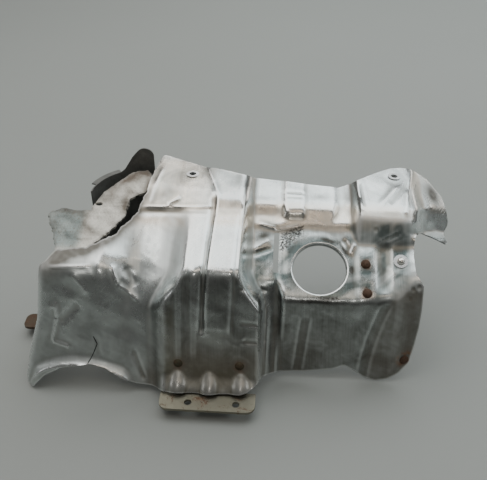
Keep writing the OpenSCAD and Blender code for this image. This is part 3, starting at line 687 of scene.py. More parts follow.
class Net:
    """The node tree of one material, with a Principled shader at its end."""

    def __init__(self, name: str) -> None:
        """Makes the material and its two end nodes.

        Args:
            name: the material's name.
        """
        self.material = bpy.data.materials.new(name)
        self.material.use_nodes = True
        self.tree = self.material.node_tree
        self.tree.nodes.clear()
        self.end = self.tree.nodes.new("ShaderNodeOutputMaterial")
        self.shader = self.tree.nodes.new("ShaderNodeBsdfPrincipled")
        self.tree.links.new(self.shader.outputs[0], self.end.inputs[0])

    def _put(self, node: bpy.types.Node, key: str | int, value: object) -> None:
        """Links or sets one input of a node.

        Args:
            node: the node.
            key: the input's name or number.
            value: a Sock to link, or the value to set.
        """
        if isinstance(value, Sock):
            self.tree.links.new(value.out, node.inputs[key])
        else:
            node.inputs[key].default_value = value

    def node(self, kind: str, settings: dict | None = None, values: dict | None = None,
             out: str | int = 0) -> Sock:
        """Adds a node.

        Args:
            kind: the node's type.
            settings: its properties, set before its inputs.
            values: numbers, vectors or sockets for its inputs.
            out: which output is returned.

        Returns:
            That output as a Sock.
        """
        node = self.tree.nodes.new(kind)
        for key, value in (settings or {}).items():
            setattr(node, key, value)
        for key, value in (values or {}).items():
            self._put(node, key, value)
        return Sock(self, node.outputs[out])

    def place(self) -> Sock:
        """Object coordinates in metres."""
        return self.node("ShaderNodeTexCoord", out="Object")

    def mark(self, name: str) -> Sock:
        """A value stored on the piece's points."""
        return self.node("ShaderNodeAttribute", {"attribute_name": name}, out="Fac")

    def scaled(self, coords: Sock, scale: Triple, turn: float = 0.0) -> Sock:
        """Coordinates turned by an angle about Z and then stretched."""
        return self.node("ShaderNodeMapping", {"vector_type": "TEXTURE"},
                         {"Vector": coords, "Rotation": (0, 0, turn), "Scale": tuple(1 / v for v in scale)})

    def noise(self, coords: Sock, scale: float, detail: float = 3.0, rough: float = 0.5,
              warp: float = 0.0) -> Sock:
        """Cloudy noise of about 0.5 on average."""
        return self.node("ShaderNodeTexNoise", {}, {"Vector": coords, "Scale": scale, "Detail": detail,
                                                    "Roughness": rough, "Distortion": warp})

    def cells(self, coords: Sock, scale: float) -> Sock:
        """Distance to the nearest of scattered points."""
        return self.node("ShaderNodeTexVoronoi", {"feature": "F1"}, {"Vector": coords, "Scale": scale})

    def mix(self, factor: Sock | float, a: Sock | Triple, b: Triple) -> Sock:
        """A colour between a and b."""
        a = a if isinstance(a, Sock) else (*a, 1.0)
        return self.node("ShaderNodeMix", {"data_type": "RGBA"}, {0: factor, 6: a, 7: (*b, 1.0)}, 2)

    def line(self, coords: Sock, a: Pair, b: Pair) -> Sock:
        """Distance from a line on the sheet's own map: the foot of the perpendicular is kept on the line.

        Args:
            coords: the map's coordinates.
            a, b: the ends of the line, in millimetres.

        Returns:
            The distance in metres.
        """
        d = np.subtract(b, a) / 1000
        start = (a[0] / 1000, a[1] / 1000, 0.0)
        from_a = self.node("ShaderNodeVectorMath", {"operation": "SUBTRACT"}, {0: coords, 1: start})
        t = self.node("ShaderNodeVectorMath", {"operation": "DOT_PRODUCT"},
                      {0: from_a, 1: (*(d / float(d @ d)), 0.0)}, "Value").most(0.0).least(1.0)
        foot = self.node("ShaderNodeVectorMath", {"operation": "SCALE"}, {0: (*d, 0.0), "Scale": t})
        return self.node("ShaderNodeVectorMath", {"operation": "DISTANCE"}, {0: from_a, 1: foot}, "Value")

    def finish(self, colour: Sock, metal: Sock | float, rough: Sock | float, height: Sock | None = None,
               depth: float = 0.0002, **fixed: float) -> bpy.types.Material:
        """Wires the shader's inputs.

        Args:
            colour, metal, rough: base colour, metallic and roughness.
            height: bump height from 0 to 1.
            depth: how far apart 0 and 1 are, in metres.
            fixed: other inputs of the shader, with spaces as underscores.

        Returns:
            The material.
        """
        self._put(self.shader, "Base Color", colour)
        self._put(self.shader, "Metallic", metal)
        self._put(self.shader, "Roughness", rough)
        for key, value in fixed.items():
            self.shader.inputs[key.replace("_", " ")].default_value = value
        if height is not None:
            values = {"Height": height, "Distance": depth, "Strength": 1.0}
            bump = self.node("ShaderNodeBump", {}, values, "Normal")
            self._put(self.shader, "Normal", bump)
        return self.material


# finishes


@dataclass(frozen=True)
class PressedAluminium:
    """Stamped aluminium: semi-matte metal with drawing streaks, stains, grimy blotches and scratches, with
    painted shade and painted highlights.
    """

    clean: Triple = (0.82, 0.875, 0.87)
    warm: Triple = (0.80, 0.69, 0.56)
    # grimy colour, which also carries the painted shade of grooves and of the torn edge
    grime_and_shade: Triple = (0.16, 0.145, 0.12)
    rust: Triple = (0.24, 0.10, 0.035)
    # painted shade: near-black for steep walls that face forward, and for the smudge spots
    wall_shade_and_smear: Triple = (0.10, 0.10, 0.09)
    shade: Triple = (0.36, 0.31, 0.25)
    stain: Triple = (0.15, 0.13, 0.075)
    # painted shade of the inner face under the hood
    underside_shade: Triple = (0.05, 0.048, 0.044)
    # painted shade of the panel, a dark teal
    panel_shade_tone: Triple = (0.095, 0.135, 0.135)
    dull: Triple = (0.56, 0.60, 0.61)
    hatch: Triple = (0.05, 0.05, 0.048)
    # painted shade seen through the crack
    crack_shade: Triple = (0.01, 0.01, 0.01)
    # painted highlight on ridges and along the outline
    polish_and_highlight: Triple = (0.9, 0.91, 0.91)
    crack: tuple[Pair, ...] = ((-131.3, -29.0), (-125.1, -16.7), (-122.0, -9.0), (-124.8, -2.5))
    rough: float = 0.28

    def build(self, name: str = "pressed_aluminium") -> bpy.types.Material:
        """Works out the material from object coordinates, the sheet's own map and its stored marks.

        Args:
            name: the material's name.

        Returns:
            The material.
        """
        net = Net(name)
        at = net.place()
        uv = net.node("ShaderNodeUVMap", {"uv_map": "sheet"})
        blotch = net.noise(at, 38, 4, 0.6, 0.4)
        fine = net.noise(at, 260, 4, 0.6)
        streak = net.noise(net.scaled(uv, (700, 26, 1), 0.06), 1.0, 4, 0.65)
        brush = net.noise(net.scaled(uv, (2600, 60, 1), 0.03), 1.0, 3, 0.6)
        scuffs = net.noise(net.scaled(uv, (1500, 70, 1), 0.5), 1.0, 2, 0.5)
        scratch = net.noise(net.scaled(uv, (90, 1700, 1), 0.9), 1.0, 2, 0.4).step(0.66, 0.74)
        marks = ("dirt", "warm", "ridge", "steep", "edge", "inner")
        dirt, warm, ridge, steep, edge, inner = (net.mark(key) for key in marks)
        soil_and_shade = dirt * (0.55 + 0.9 * blotch) + (blotch - 0.60).most(0.0) * 0.6
        # painted shade: grooves lower than their neighbourhood are darkened
        soil_and_shade = (soil_and_shade + (-ridge * 0.35).most(0.0)).least(1.0)
        specks = net.cells(at, 520).step(0.16, 0.08) * net.noise(at, 60, 2).step(0.5, 0.62)
        soil_and_shade = (soil_and_shade + specks * 0.5).least(1.0)
        cloud = net.noise(net.scaled(uv, (34, 52, 1), 0.5), 1.0, 2, 0.5, 0.8)
        # painted shade: the panel mark darkens the sheet in clouds and streaks
        panel = net.mark("panel") * (0.28 + 3.6 * (cloud - 0.43).most(0.0) + 0.5 * (streak - 0.5))
        patch = net.mark("patch") * net.noise(net.scaled(uv, (700, 700, 1), 0.7), 1.0, 2).step(0.42, 0.55)
        colour = net.mix((warm * (0.45 + 0.5 * blotch)).least(1.0), self.clean, self.warm)
        dull = (streak - 0.45).most(0.0) + (blotch - 0.48).most(0.0) * 1.6
        colour = net.mix(dull.least(0.8), colour, self.dull)
        colour = net.mix(panel.most(0.0).least(0.92), colour, self.panel_shade_tone)
        # painted shade: steep walls facing forward are darkened, less on ridges; the smudge spots add to it
        wall_shade_and_smear = steep * (0.75 + 0.8 * (blotch - 0.5) - 0.30 * (streak - 0.5) - 0.12 * (brush - 0.5))
        wall_shade_and_smear = wall_shade_and_smear * (1.0 - (ridge.most(0.0) * 0.4).least(0.4))
        wall_shade_and_smear = wall_shade_and_smear + net.mark("smear") * (0.7 + 1.3 * blotch)
        colour = net.mix(wall_shade_and_smear.most(0.0).least(1.0), colour, self.wall_shade_and_smear)
        # painted shade: faces of middle slope get a brownish shade
        colour = net.mix(net.mark("lean") * 0.30, colour, self.shade)
        colour = net.mix(net.mark("stain") * (0.25 + 0.75 * blotch), colour, self.stain)
        # painted shade: the inner face under the hood is darkened almost to black
        colour = net.mix(inner * 0.93, colour, self.underside_shade)
        colour = net.mix(soil_and_shade * 0.9, colour, self.grime_and_shade)
        colour = net.mix(net.mark("rusty") * net.noise(at, 180, 3).step(0.3, 0.7), colour, self.rust)
        colour = net.mix((patch * 1.3).least(0.95), colour, self.hatch)
        cracks = reduce(Sock.least, [net.line(uv, a, b) for a, b in zip(self.crack, self.crack[1:])])
        crack = (cracks + (fine - 0.5) * 0.0006).step(0.00055, 0.00025)
        # painted shade: the crack line is near-black, the shade seen through the slit
        colour = net.mix(crack, colour, self.crack_shade)
        # painted highlight on ridges, less on steep walls; along the outline partly real rubbing, partly
        # painted highlight
        polish_and_highlight = (ridge.most(0.0) * (1.0 - 0.7 * steep) + edge.step(1.6, 0.4) * 0.7).least(1.0)
        colour = net.mix(polish_and_highlight * 0.5, colour, self.polish_and_highlight)
        rough = self.rough + soil_and_shade * 0.42 + (fine - 0.5) * 0.10 + (blotch - 0.5) * 0.16 - polish_and_highlight * 0.08
        frost = net.mark("frost")
        rough = (rough + inner * 0.35 + scratch * 0.1 + frost * 0.18).least(0.85).most(0.12)
        metal = 1.0 - (soil_and_shade * 0.55 + frost * 0.6).least(0.75) - crack * 0.2
        height = (0.25 * fine + 0.15 * streak + 0.14 * brush + 0.1 * scuffs - 0.25 * scratch - specks * 0.2
                  - crack * 1.5 - patch * 0.5)
        return net.finish(colour, metal, rough, height, 0.00012)


@dataclass(frozen=True)
class PlainAluminium:
    """Aluminium of the small pieces and the rear wall: semi-matte metal, darkened in blotches by heat and
    grimy wear; the rear wall's darker copy is painted shade.
    """

    clean: Triple = (0.78, 0.79, 0.80)
    dark: Triple = (0.20, 0.20, 0.20)
    rough: float = 0.3
    soil_and_shade: float = 0.4

    def build(self, name: str) -> bpy.types.Material:
        """Works out the material from object coordinates.

        Args:
            name: the material's name.

        Returns:
            The material.
        """
        net = Net(name)
        at = net.place()
        blotch = net.noise(at, 45, 5, 0.65, 0.5)
        fine = net.noise(at, 400, 4, 0.6)
        streak = net.noise(net.scaled(at, (900, 900, 60)), 1.0, 2, 0.6)
        # grimy blotches; on the rear wall's dark copy they are part of its painted shade
        soil_and_shade = (blotch - 0.62 + self.soil_and_shade).most(0.0).least(0.9)
        colour = net.mix(soil_and_shade, self.clean, self.dark)
        rough = (self.rough + soil_and_shade * 0.35 + (fine - 0.5) * 0.12).least(0.9)
        return net.finish(colour, 1.0 - soil_and_shade * 0.35, rough, 0.4 * fine + 0.3 * streak, 0.0001)


@dataclass(frozen=True)
class RustySteel:
    """Plated steel gone dull brown: bare beige metal, rust blooms and pits."""

    plate: Triple = (0.25, 0.24, 0.19)
    bloom: Triple = (0.19, 0.10, 0.05)
    deep: Triple = (0.055, 0.028, 0.016)
    rust: float = 0.35

    def build(self, name: str) -> bpy.types.Material:
        """Works out the material from object coordinates.

        Args:
            name: the material's name.

        Returns:
            The material.
        """
        net = Net(name)
        at = net.place()
        cloud = net.noise(at, 90, 5, 0.7, 0.6)
        grain = net.noise(at, 700, 4, 0.65)
        pits = net.cells(at, 900).step(0.30, 0.10) * cloud.step(0.45, 0.6)
        rust = (cloud + 0.25 * (grain - 0.5)).step(0.75 - self.rust, 0.95 - self.rust)
        colour = net.mix(rust, self.plate, self.bloom)
        colour = net.mix((rust * grain.step(0.45, 0.65) + pits * 0.6).least(1.0), colour, self.deep)
        rough = (0.42 + rust * 0.38 + (grain - 0.5) * 0.15).least(0.95)
        height = 0.6 * grain * (0.3 + rust) - pits * 0.5 + 0.3 * cloud
        return net.finish(colour, 0.8 - rust * 0.72, rough, height, 0.0003)


@dataclass(frozen=True)
class FibreFelt:
    """Torn glass fibre mat: pale matted threads, foil-grey on its free flap, dirty in its folds."""

    pale: Triple = (0.84, 0.82, 0.75)
    foil: Triple = (0.30, 0.37, 0.37)
    stain: Triple = (0.22, 0.17, 0.11)
    scorch: Triple = (0.11, 0.08, 0.055)
    hem: Triple = (0.15, 0.15, 0.14)

    def build(self, name: str = "fibre_felt") -> bpy.types.Material:
        """Works out the material from the mat's own map and marks.

        Args:
            name: the material's name.

        Returns:
            The material.
        """
        net = Net(name)
        uv = net.node("ShaderNodeUVMap", {"uv_map": "sheet"})
        cloud = net.noise(uv, 60, 5, 0.65, 0.5)
        threads = net.noise(net.scaled(uv, (2600, 380, 1), 0.3), 1.0, 3, 0.6)
        cross = net.noise(net.scaled(uv, (380, 2600, 1), 0.3), 1.0, 3, 0.6)
        weave = threads * 0.5 + cross * 0.5
        foil, edge = net.mark("foil"), net.mark("edge")
        colour = net.mix((foil * (0.55 + 0.7 * cloud)).least(1.0), self.pale, self.foil)
        colour = net.mix((cloud - 0.52).most(0.0) * 2.0, colour, self.stain)
        colour = net.mix(weave.step(0.50, 0.38) * (0.45 + 0.3 * foil), colour, self.stain)
        burn = net.mark("burn") * (0.2 + 1.9 * cloud)
        colour = net.mix(burn.least(0.95), colour, self.scorch)
        colour = net.mix(edge.step(2.5, 0.3) * 0.6 * weave.step(0.35, 0.6), colour, self.hem)
        rough = 0.92 - foil * 0.25 * cloud
        return net.finish(colour, foil * 0.25, rough, weave + 0.6 * cloud, 0.0006, Sheen_Weight=0.2)


class Coat(Enum):
    """The finish of each node of the part."""

    SHEET = PressedAluminium()
    # painted shade: a dark copy of the plain aluminium for the rear wall, which stands in shade inside the
    # shield
    SHADED_REAR = PlainAluminium(clean=(0.38, 0.385, 0.37), dark=(0.06, 0.06, 0.055), rough=0.42, soil_and_shade=0.74)
    TRIM = PlainAluminium(rough=0.26, soil_and_shade=0.22)
    BRIGHT = PlainAluminium(clean=(0.86, 0.84, 0.80), rough=0.18, soil_and_shade=0.1)
    STEEL = RustySteel(rust=0.22)
    TAB = RustySteel(plate=(0.08, 0.06, 0.042), bloom=(0.10, 0.055, 0.03), rust=0.3)
    HEAD = RustySteel(plate=(0.09, 0.062, 0.044), bloom=(0.09, 0.05, 0.03), rust=0.5)
    DULL = RustySteel(plate=(0.085, 0.08, 0.055), bloom=(0.09, 0.06, 0.03), rust=0.3)
    FELT = FibreFelt()


# pieces


@dataclass
class ShieldSheet:
    """The pressed sheet with its port, slot and holes.

    The port has a radius, the depth of its rolled lip and the radius of its fold, the slot its middle,
    length and width, and slope is what a length across the panel is shortened by on the press plane,
    as eye_slope is for the eyelets' holes. The outline's corners carry their radii. The smudge spots
    (partly real, partly painted shade), the grimy spots (partly real, partly painted shade where the sheet
    meets the torn mat) and the rust spots are rows for spots. The ridge mark compares places ridge_reach
    apart.
    """

    thickness: float = 1.2
    step: float = 1.3
    port_radius: float = 23.75
    port_depth: float = 5.2
    port_fold: float = 2.0
    slot: tuple[float, float, float, float] = (33.4, 78.6, 39.0, 4.8)
    slot_corner: float = 0.8
    slope: float = 0.9205
    eye_radius: float = 4.2
    eye_slope: float = 0.82
    ridge_reach: float = 2.2
    ridge_gain: float = 3.2
    outline: Rows = (
        (-184.3, -54.1, 2), (-171, -40.6, 12), (-153, -31.6, 14), (-128, -27.4, 14), (-114.7, -30.4, 12),
        (-101.7, -39.5, 12), (-89, -44.8, 10), (-74, -45.8, 8), (-61, -47.7, 6), (-21, -47.9, 30),
        (7, -46.8, 6), (13, -44.7, 8), (20, -39, 6), (26, -32.5, 6), (60, -30.8, 20), (89, -26.8, 12),
        (99.5, -22.2, 5), (108.2, -27, 10), (118, -33.3, 10), (129, -36.3, 10), (140, -34, 10),
        (149.5, -28.5, 10), (158.3, -17.7, 10), (161.6, 0.5, 10), (163.6, 16.6, 10), (164.3, 32.5, 10),
        (164, 53.8, 5), (157.1, 65.6, 6), (155.9, 80.4, 8), (157.5, 98, 4), (165, 102, 7),
        (174.7, 99.1, 14), (185.5, 92.2, 1), (198.5, 111.5, 10), (194.5, 138, 14), (180.7, 157.2, 12),
        (164.9, 164.9, 5), (152, 165.8, 12), (141.6, 164.6, 10), (123.9, 157.5, 10), (101.6, 146.6, 8),
        (90.1, 142.1, 6), (58.3, 144.8, 8), (38, 147.2, 2), (5.5, 149.6, 2), (-27.2, 157.1, 10),
        (-35.9, 157.3, 4), (-82.6, 170.7, 3), (-85.9, 152.2, 10), (-87.1, 128.1, 12), (-95.1, 107.2, 10),
        (-111.7, 87.4, 10), (-129.9, 77.9, 8), (-158.3, 74.1, 5), (-165.5, 64.5, 3), (-180, 52, 8),
        (-194, 26, 6), (-199, 6, 5), (-198.2, -13, 6), (-194.5, -33, 6), (-188.5, -50, 3))
    # smudge spots: partly real smudges, partly painted shade of dark streaks on the panel and flange
    smear_and_shade_spots: Rows = (
        (80, 91, 7, 1.7, 1.2, -15), (95, 83, 1.7, 6, 0.9, 42), (101, 66, 1.5, 3.5, 1.2, 0),
        (21, 93, 9, 4.5, 0.8, 18), (99, 86, 4, 8, 0.8, -30), (72, 38.5, 24, 2.6, 0.6, 0),
        (29, 104, 12, 3, 0.5, -12), (128, 66, 5, 18, 0.45, 0), (104, 56, 4, 12, 0.4, 10),
        (50, 56, 5, 10, 0.35, 20), (46, 98, 10, 4, 0.5, 15), (143, 88, 8, 5, 0.4, 0),
        (86, 95, 9, 4, 0.35, -20), (-4, 150, 5, 10, 0.3, 0), (-70, 128, 12, 5, 0.35, 20),
        (-36, 150, 4, 14, 0.35, 25), (20, 128, 14, 3, 0.35, 0), (72, 131, 12, 3, 0.35, 0),
        (98, 132, 4, 12, 0.45, 0), (136, 140, 4, 14, 0.35, -30), (184, 140, 7, 11, 0.8, 10),
        (-120, 88, 14, 4, 0.5, 28), (-78, 112, 22, 2, 0.4, 2))
    # grimy spots: real near the brackets, the lower wall and the lobe; painted shade where the sheet meets
    # the torn mat
    dirt: Rows = (
        (-34, -20, 15, 15, 0.5, 0), (-8, -22, 12, 12, 0.45, 0), (14, -18, 9, 9, 0.4, 0),
        (-48, -24, 6, 6, 0.6, 0), (6, -24, 6, 6, 0.6, 0), (-168, 64, 14, 14, 1.0, 0),
        (-150, 72, 12, 12, 0.9, 0), (-134, 78, 10, 10, 0.8, 0), (-118, 86, 9, 9, 0.6, 0),
        (-78, -40, 10, 10, 0.4, 0), (-86, 125, 12, 12, 0.35, 0), (60, -20, 30, 30, 0.25, 0),
        (150, 48, 12, 12, 0.4, 0))
    rust: Rows = (
        (113.3, 71.4, 5.2, 5.2, 0.9, 0), (114.4, 46.3, 5.6, 5.6, 1.0, 0), (153.7, -14.8, 7, 7, 1.0, 0),
        (-48.4, -22, 5.5, 5.5, 0.5, 0), (5.8, -22, 5.5, 5.5, 0.5, 0), (160, -8, 5, 5, 0.5, 0))

    def edge_line(self) -> Array:
        """The trimmed edge, ragged where the sheet is torn along the deck's left side.

        Returns:
            Its places on the press plane.
        """
        line = resampled(rounded(self.outline), 1.0)
        torn = band(line[:, 0], -172, -84, 8) * (line[:, 1] > 62)
        return pushed(line, (-120.0, 118.0), torn * 0.8 * ripple(line[:, 0], line[:, 1], 21, 9, 3, 14))

    def ring(self, radius: Array | float, angle: Array) -> tuple[Array, Array]:
        """Places on the press plane of a circle round the port, which the slope shortens along q."""
        return PORT[0] + radius * np.cos(angle), PORT[1] + radius * np.sin(angle) * self.slope

    def holes(self) -> tuple[Array, ...]:
        """The port, the slot and the two eyelets' holes.

        Returns:
            Their outlines on the press plane.
        """
        turn = np.linspace(0, math.tau, 96, endpoint=False)
        port = np.stack(self.ring(self.port_radius + self.port_fold, turn), 1)
        cx, cq, length, width = self.slot
        k = length / 2 * self.slope
        h = width / 2
        corners = ((cx - h, cq - k), (cx + h, cq - k), (cx + h, cq + k), (cx - h, cq + k))
        slot = rounded(tuple((*corner, self.slot_corner) for corner in corners))
        circle = self.eye_radius * np.stack([np.cos(turn), np.sin(turn) * self.eye_slope], 1)
        eyes = [np.array(eyelet) + circle for eyelet in EYELETS]
        return port, slot, *eyes

    def fold(self) -> MeshData:
        """The port's rolled lip: a profile of radius and depth carried round the port.

        The profile turns from the sheet's face through a quarter circle into the tube, round its end
        and back along the tube's outside; each point lies on the sheet's formula at its radius, sunk
        by its depth along the port's normal.

        Returns:
            The lip's mesh with its marks.
        """
        r, f, t = self.port_radius, self.port_fold, self.thickness
        a = np.linspace(0, math.pi / 2, 9)
        outer = np.stack([r + f - f * np.sin(a), f - f * np.cos(a)], 1)
        g = f - t
        back = np.stack([r + f - g * np.sin(a[::-1]), f - g * np.cos(a[::-1])], 1)
        deep = self.port_depth
        end = np.array([[r, deep - 0.4], [r + 0.35, deep], [r + t - 0.35, deep], [r + t, deep - 0.4]])
        profile = np.vstack([[[r + f + 0.3, 0.02]], outer, end, back, [[r + f + 0.3, t - 0.02]]])
        turn = np.linspace(0, math.tau, 144, endpoint=False)
        x, q = self.ring(profile[:, :1], turn[None, :])
        n = normals(FORM.skin, np.array(PORT[0]), np.array(PORT[1]), 6.0)
        pts = FORM.skin(x, q) - profile[:, 1][:, None, None] / 1000 * n
        count = pts.shape[0] * pts.shape[1]
        uv = np.stack([x.ravel(), q.ravel()], 1) / 1000
        depth = np.repeat(profile[:, 1], len(turn))
        # painted shade: the lip darkens where it turns down into the tube
        marks = {"edge": np.full(count, 1.0), "ridge": np.full(count, 0.3), "inner": np.zeros(count),
                 "smear": 0.8 * sstep((depth - 0.9) / 1.2)}
        faces = grid_faces(*pts.shape[:2], True)[:, ::-1]
        return MeshData(pts.reshape(-1, 3), faces, uv, marks)

    def marks(self, x: Array, q: Array) -> dict[str, Array]:
        """Where the sheet is grimy, warm-toned, rusty, scuffed or polished, and where shade and highlights
        are painted, each from 0 to 1.

        Args:
            x, q: places on the press plane.

        Returns:
            Named masks: bands, lobes and round spots, and the ridge mark, which is the height above the
            mean of its neighbourhood.
        """
        lobe = sstep((x - FORM.lobe(q)) / 6) * sstep((58 - q) / 14)
        low = sstep((30 - q) / 60)
        # partly real grime, partly painted shade: the lobe, darker towards the bottom, and the grimy spots
        dirt = 0.5 * lobe + 0.12 * low + spots(x, q, self.dirt)
        warm = 0.85 * band(q, 101, 124, 7) * sstep((x + 30) / 6) * sstep((150 - x) / 10)
        warm = warm + 0.5 * band(q, 112, 166, 10) * sstep((-24 - x) / 8)
        warm = warm + 0.35 * band(x, 2, 13, 5) * band(q, 62, 110, 8)
        warm = warm + 0.4 * sstep((q - 84) / 20) * sstep((-30 - x) / 20) + 0.5 * low * band(x, -60, 24, 10)
        patch = band(x, 36.8, 57.5, 3) * band(q - 0.45 * (x - 47), 84, 100, 4)
        patch = patch * sstep((np.hypot(x - PORT[0], q - PORT[1]) - 31) / 4)
        patch = patch + 0.8 * band(x, 73, 89, 3) * band(q - 0.1 * (x - 80), 38.4, 41.6, 1.6)
        e = self.ridge_reach
        around = [FORM.height(x + dx, q + dq) for dx, dq in ((e, 0), (-e, 0), (0, e), (0, -e))]
        ridge = np.clip((FORM.height(x, q) - sum(around) / 4) * self.ridge_gain, -1, 1)
        face = normals(FORM.skin, x, q, 2.0)
        # painted shade: steep faces that look forward, less high up and on the hood's far left
        steep = sstep((0.64 - face[:, 2]) / 0.26) * sstep((-0.2 - face[:, 1]) / 0.3)
        steep = steep * (1 - 0.8 * sstep((q - 84) / 10))
        # painted shade and painted warm sheen: faces of middle slope high on the block, riser and panel, by
        # their normal
        lean = sstep((face[:, 2] - 0.56) / 0.1) * sstep((0.85 - face[:, 2]) / 0.06) * sstep((q - 60) / 20)
        lean = lean * np.maximum(sstep((x + 6) / 12), sstep((q - 96) / 8))
        steep = steep * (1 - 0.4 * sstep((-66 - x) / 20))
        # painted shade: the port panel, the flange left of the block and the top right, where they mirror
        # less light
        panel = band(x, 14, 152, 8) * band(q - 0.06 * x, 34, 100, 8)
        panel = panel + 0.35 * band(x, -200, 13, 8) * band(q, 118, 180, 8)
        panel = panel + 0.1 * sstep((x - 100) / 8) * sstep((q - 112) / 8)
        facet = band(x, 104, 152, 8) * band(q, 88, 116, 8)
        frost = facet + 0.9 * band(x, -68, -44, 10) * band(q, 56, 112, 12)
        # smudge spots, partly real and partly painted shade, with a little more painted shade on the pocket
        # facet
        smear = spots(x, q, self.smear_and_shade_spots) + 0.1 * facet
        # the faces of middle slope also get a painted warm sheen
        warm = warm + 0.6 * lean
        stain = 1.3 * np.exp(-(((x + 22) / 42) ** 2) - ((q + 33) / 17) ** 2)
        stain = stain + 0.6 * band(x, -60, -52, 6) * band(q, -40, 30, 20)
        masks = {"dirt": dirt, "warm": warm, "rusty": spots(x, q, self.rust, 2.0), "patch": patch,
                 "steep": steep, "lean": lean, "stain": stain, "smear": smear, "panel": panel,
                 "frost": frost}
        return {key: np.clip(mask, 0, 1) for key, mask in masks.items()} | {"ridge": ridge}

    def build(self) -> bpy.types.Object:
        """Builds and dresses the sheet.

        Returns:
            The finished piece.
        """
        grid = TrimmedGrid(self.edge_line(), self.holes(), self.step)
        data = grid.solid(FORM.skin, self.thickness)
        marks = self.marks(*grid.nodes.T)
        x, q = grid.nodes.T
        # painted shade: the sheet is darkened along its torn edge, where it lies over the mat
        torn = band(x, -176, -88, 8) * sstep((q - 56) / 8)
        marks["dirt"] = np.clip(marks["dirt"] + 0.9 * torn * np.exp(-((grid.edge / 6.5) ** 2)), 0, 1)
        for key, values in marks.items():
            data.marks[key] = np.tile(values, 2)
        piece = data.joined(self.fold()).to_object("pressed_sheet")
        piece.data.materials.append(Coat.SHEET.value.build())
        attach(piece, "root")
        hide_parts("shield_shell")
        return piece


@dataclass
class FibreMat:
    """The torn mat that shows where the sheet is missing at the top left.

    Covered is how deep its face lies under the sheet's, and sunk how much deeper it lies where it is free.
    The hole has its middle and its two radii, and burns are rows for spots.
    """

    thickness: float = 2.6
    step: float = 0.9
    covered: float = 2.13
    sunk: float = 5.5
    middle: Pair = (-135.0, 105.0)
    hole: tuple[float, ...] = (-131.0, 116.5, 3.2, 1.7)
    outline: Rows = (
        (-158, 66, 4), (-160.5, 76, 3), (-169.7, 92.4, 6), (-176.6, 107.9, 3), (-170, 109, 2),
        (-162, 111.5, 3), (-150, 109.5, 3), (-137.5, 110.5, 2), (-133.3, 120, 5), (-128.2, 127.9, 5),
        (-117.8, 138.3, 6), (-108.5, 149.7, 5), (-94, 153, 4), (-86.5, 144, 4), (-89.5, 129, 3),
        (-95, 127.5, 3), (-103.5, 122.5, 4), (-105.5, 115, 4), (-105, 107, 4), (-111, 98.4, 6),
        (-120, 88.1, 5), (-131, 77.5, 4), (-133, 66, 3))
    burns: Rows = (
        (-96, 150, 14, 7, 0.9, 40), (-112, 141, 10, 5, 0.7, 45), (-121, 128, 6, 8, 0.5, 30),
        (-88, 134, 6, 12, 0.9, 0), (-107, 118, 5, 10, 0.6, 0), (-128, 120, 7, 5, 0.4, 0),
        (-158, 109, 16, 3.5, 0.5, -4), (-168, 96, 4, 12, 0.35, 30), (-136, 92, 5, 14, 0.3, 20))

    def height(self, x: Array, q: Array) -> Array:
        """Height of the mat: under the sheet near its edge, then free and crumpled in soft folds.

        Args:
            x, q: places on the press plane.

        Returns:
            The height in millimetres: the sheet's where it is covered, and sines and ripples beyond.
        """
        free = sstep((q - 74) / 10)
        fold = 1.1 * np.sin(np.radians(14 * x + 5 * q)) * np.cos(np.radians(17 * q - 4 * x))
        fold = fold + 0.7 * ripple(x, q, 31, 10, 7, 20) + 0.22 * ripple(x, q, 33, 10, 2.5, 6)
        sheet = FORM.base(x, q) + FORM.beads(x, q)
        return sheet * (1 - free) + (FORM.base(x, q) - self.sunk) * free - self.covered + free * fold

    def skin(self, x: Array, q: Array) -> Array:
        """Points of the mat's upper face in metres."""
        return FORM.place(x, q, self.height(x, q))

    def flat_size(self, grid: TrimmedGrid) -> Triple:
        """Size of the mat when it is laid out flat.

        The runs across and up the grid's middle are measured on the curved surface, and the area is the
        sum of the faces' areas there.

        Args:
            grid: the mat's trimmed grid.

        Returns:
            Width and length in metres and area in square metres.
        """
        low, high = grid.nodes.min(0), grid.nodes.max(0)
        pts = self.skin(*grid.nodes.T)
        a, b, c, d = (pts[grid.quads[:, k]] for k in range(4))
        area = float(np.linalg.norm(np.cross(c - a, d - b), axis=1).sum() / 2)
        across = self.skin(np.linspace(low[0], high[0], 400), np.full(400, (low[1] + high[1]) / 2))
        up = self.skin(np.full(400, (low[0] + high[0]) / 2), np.linspace(low[1], high[1], 400))
        width, length = (float(np.linalg.norm(np.diff(run, axis=0), axis=1).sum()) for run in (across, up))
        return width, length, area

    def build(self) -> bpy.types.Object:
        """Builds and dresses the mat.

        Returns:
            The finished piece.
        """
        line = resampled(rounded(self.outline), 0.8)
        line = pushed(line, self.middle, 0.55 * ripple(line[:, 0], line[:, 1], 41, 12, 1.8, 7))
        turn = np.linspace(0, math.tau, 24, endpoint=False)
        cx, cq, rx, rq = self.hole
        hole = np.stack([cx + rx * np.cos(turn), cq + rq * np.sin(turn)], 1)
        grid = TrimmedGrid(line, (hole,), self.step)
        data = grid.solid(self.skin, self.thickness)
        x, q = grid.nodes.T
        data.marks["burn"] = np.tile(np.clip(spots(x, q, self.burns), 0, 1), 2)
        data.marks["foil"] = np.tile(sstep((-136 - x) / 10) * sstep((q - 70) / 10), 2)
        piece = data.to_object("fibre_mat", 80)
        piece.data.materials.append(Coat.FELT.value.build())
        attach(piece, "root")
        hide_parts("insulation_mat")
        width, length, area = self.flat_size(grid)
        return piece


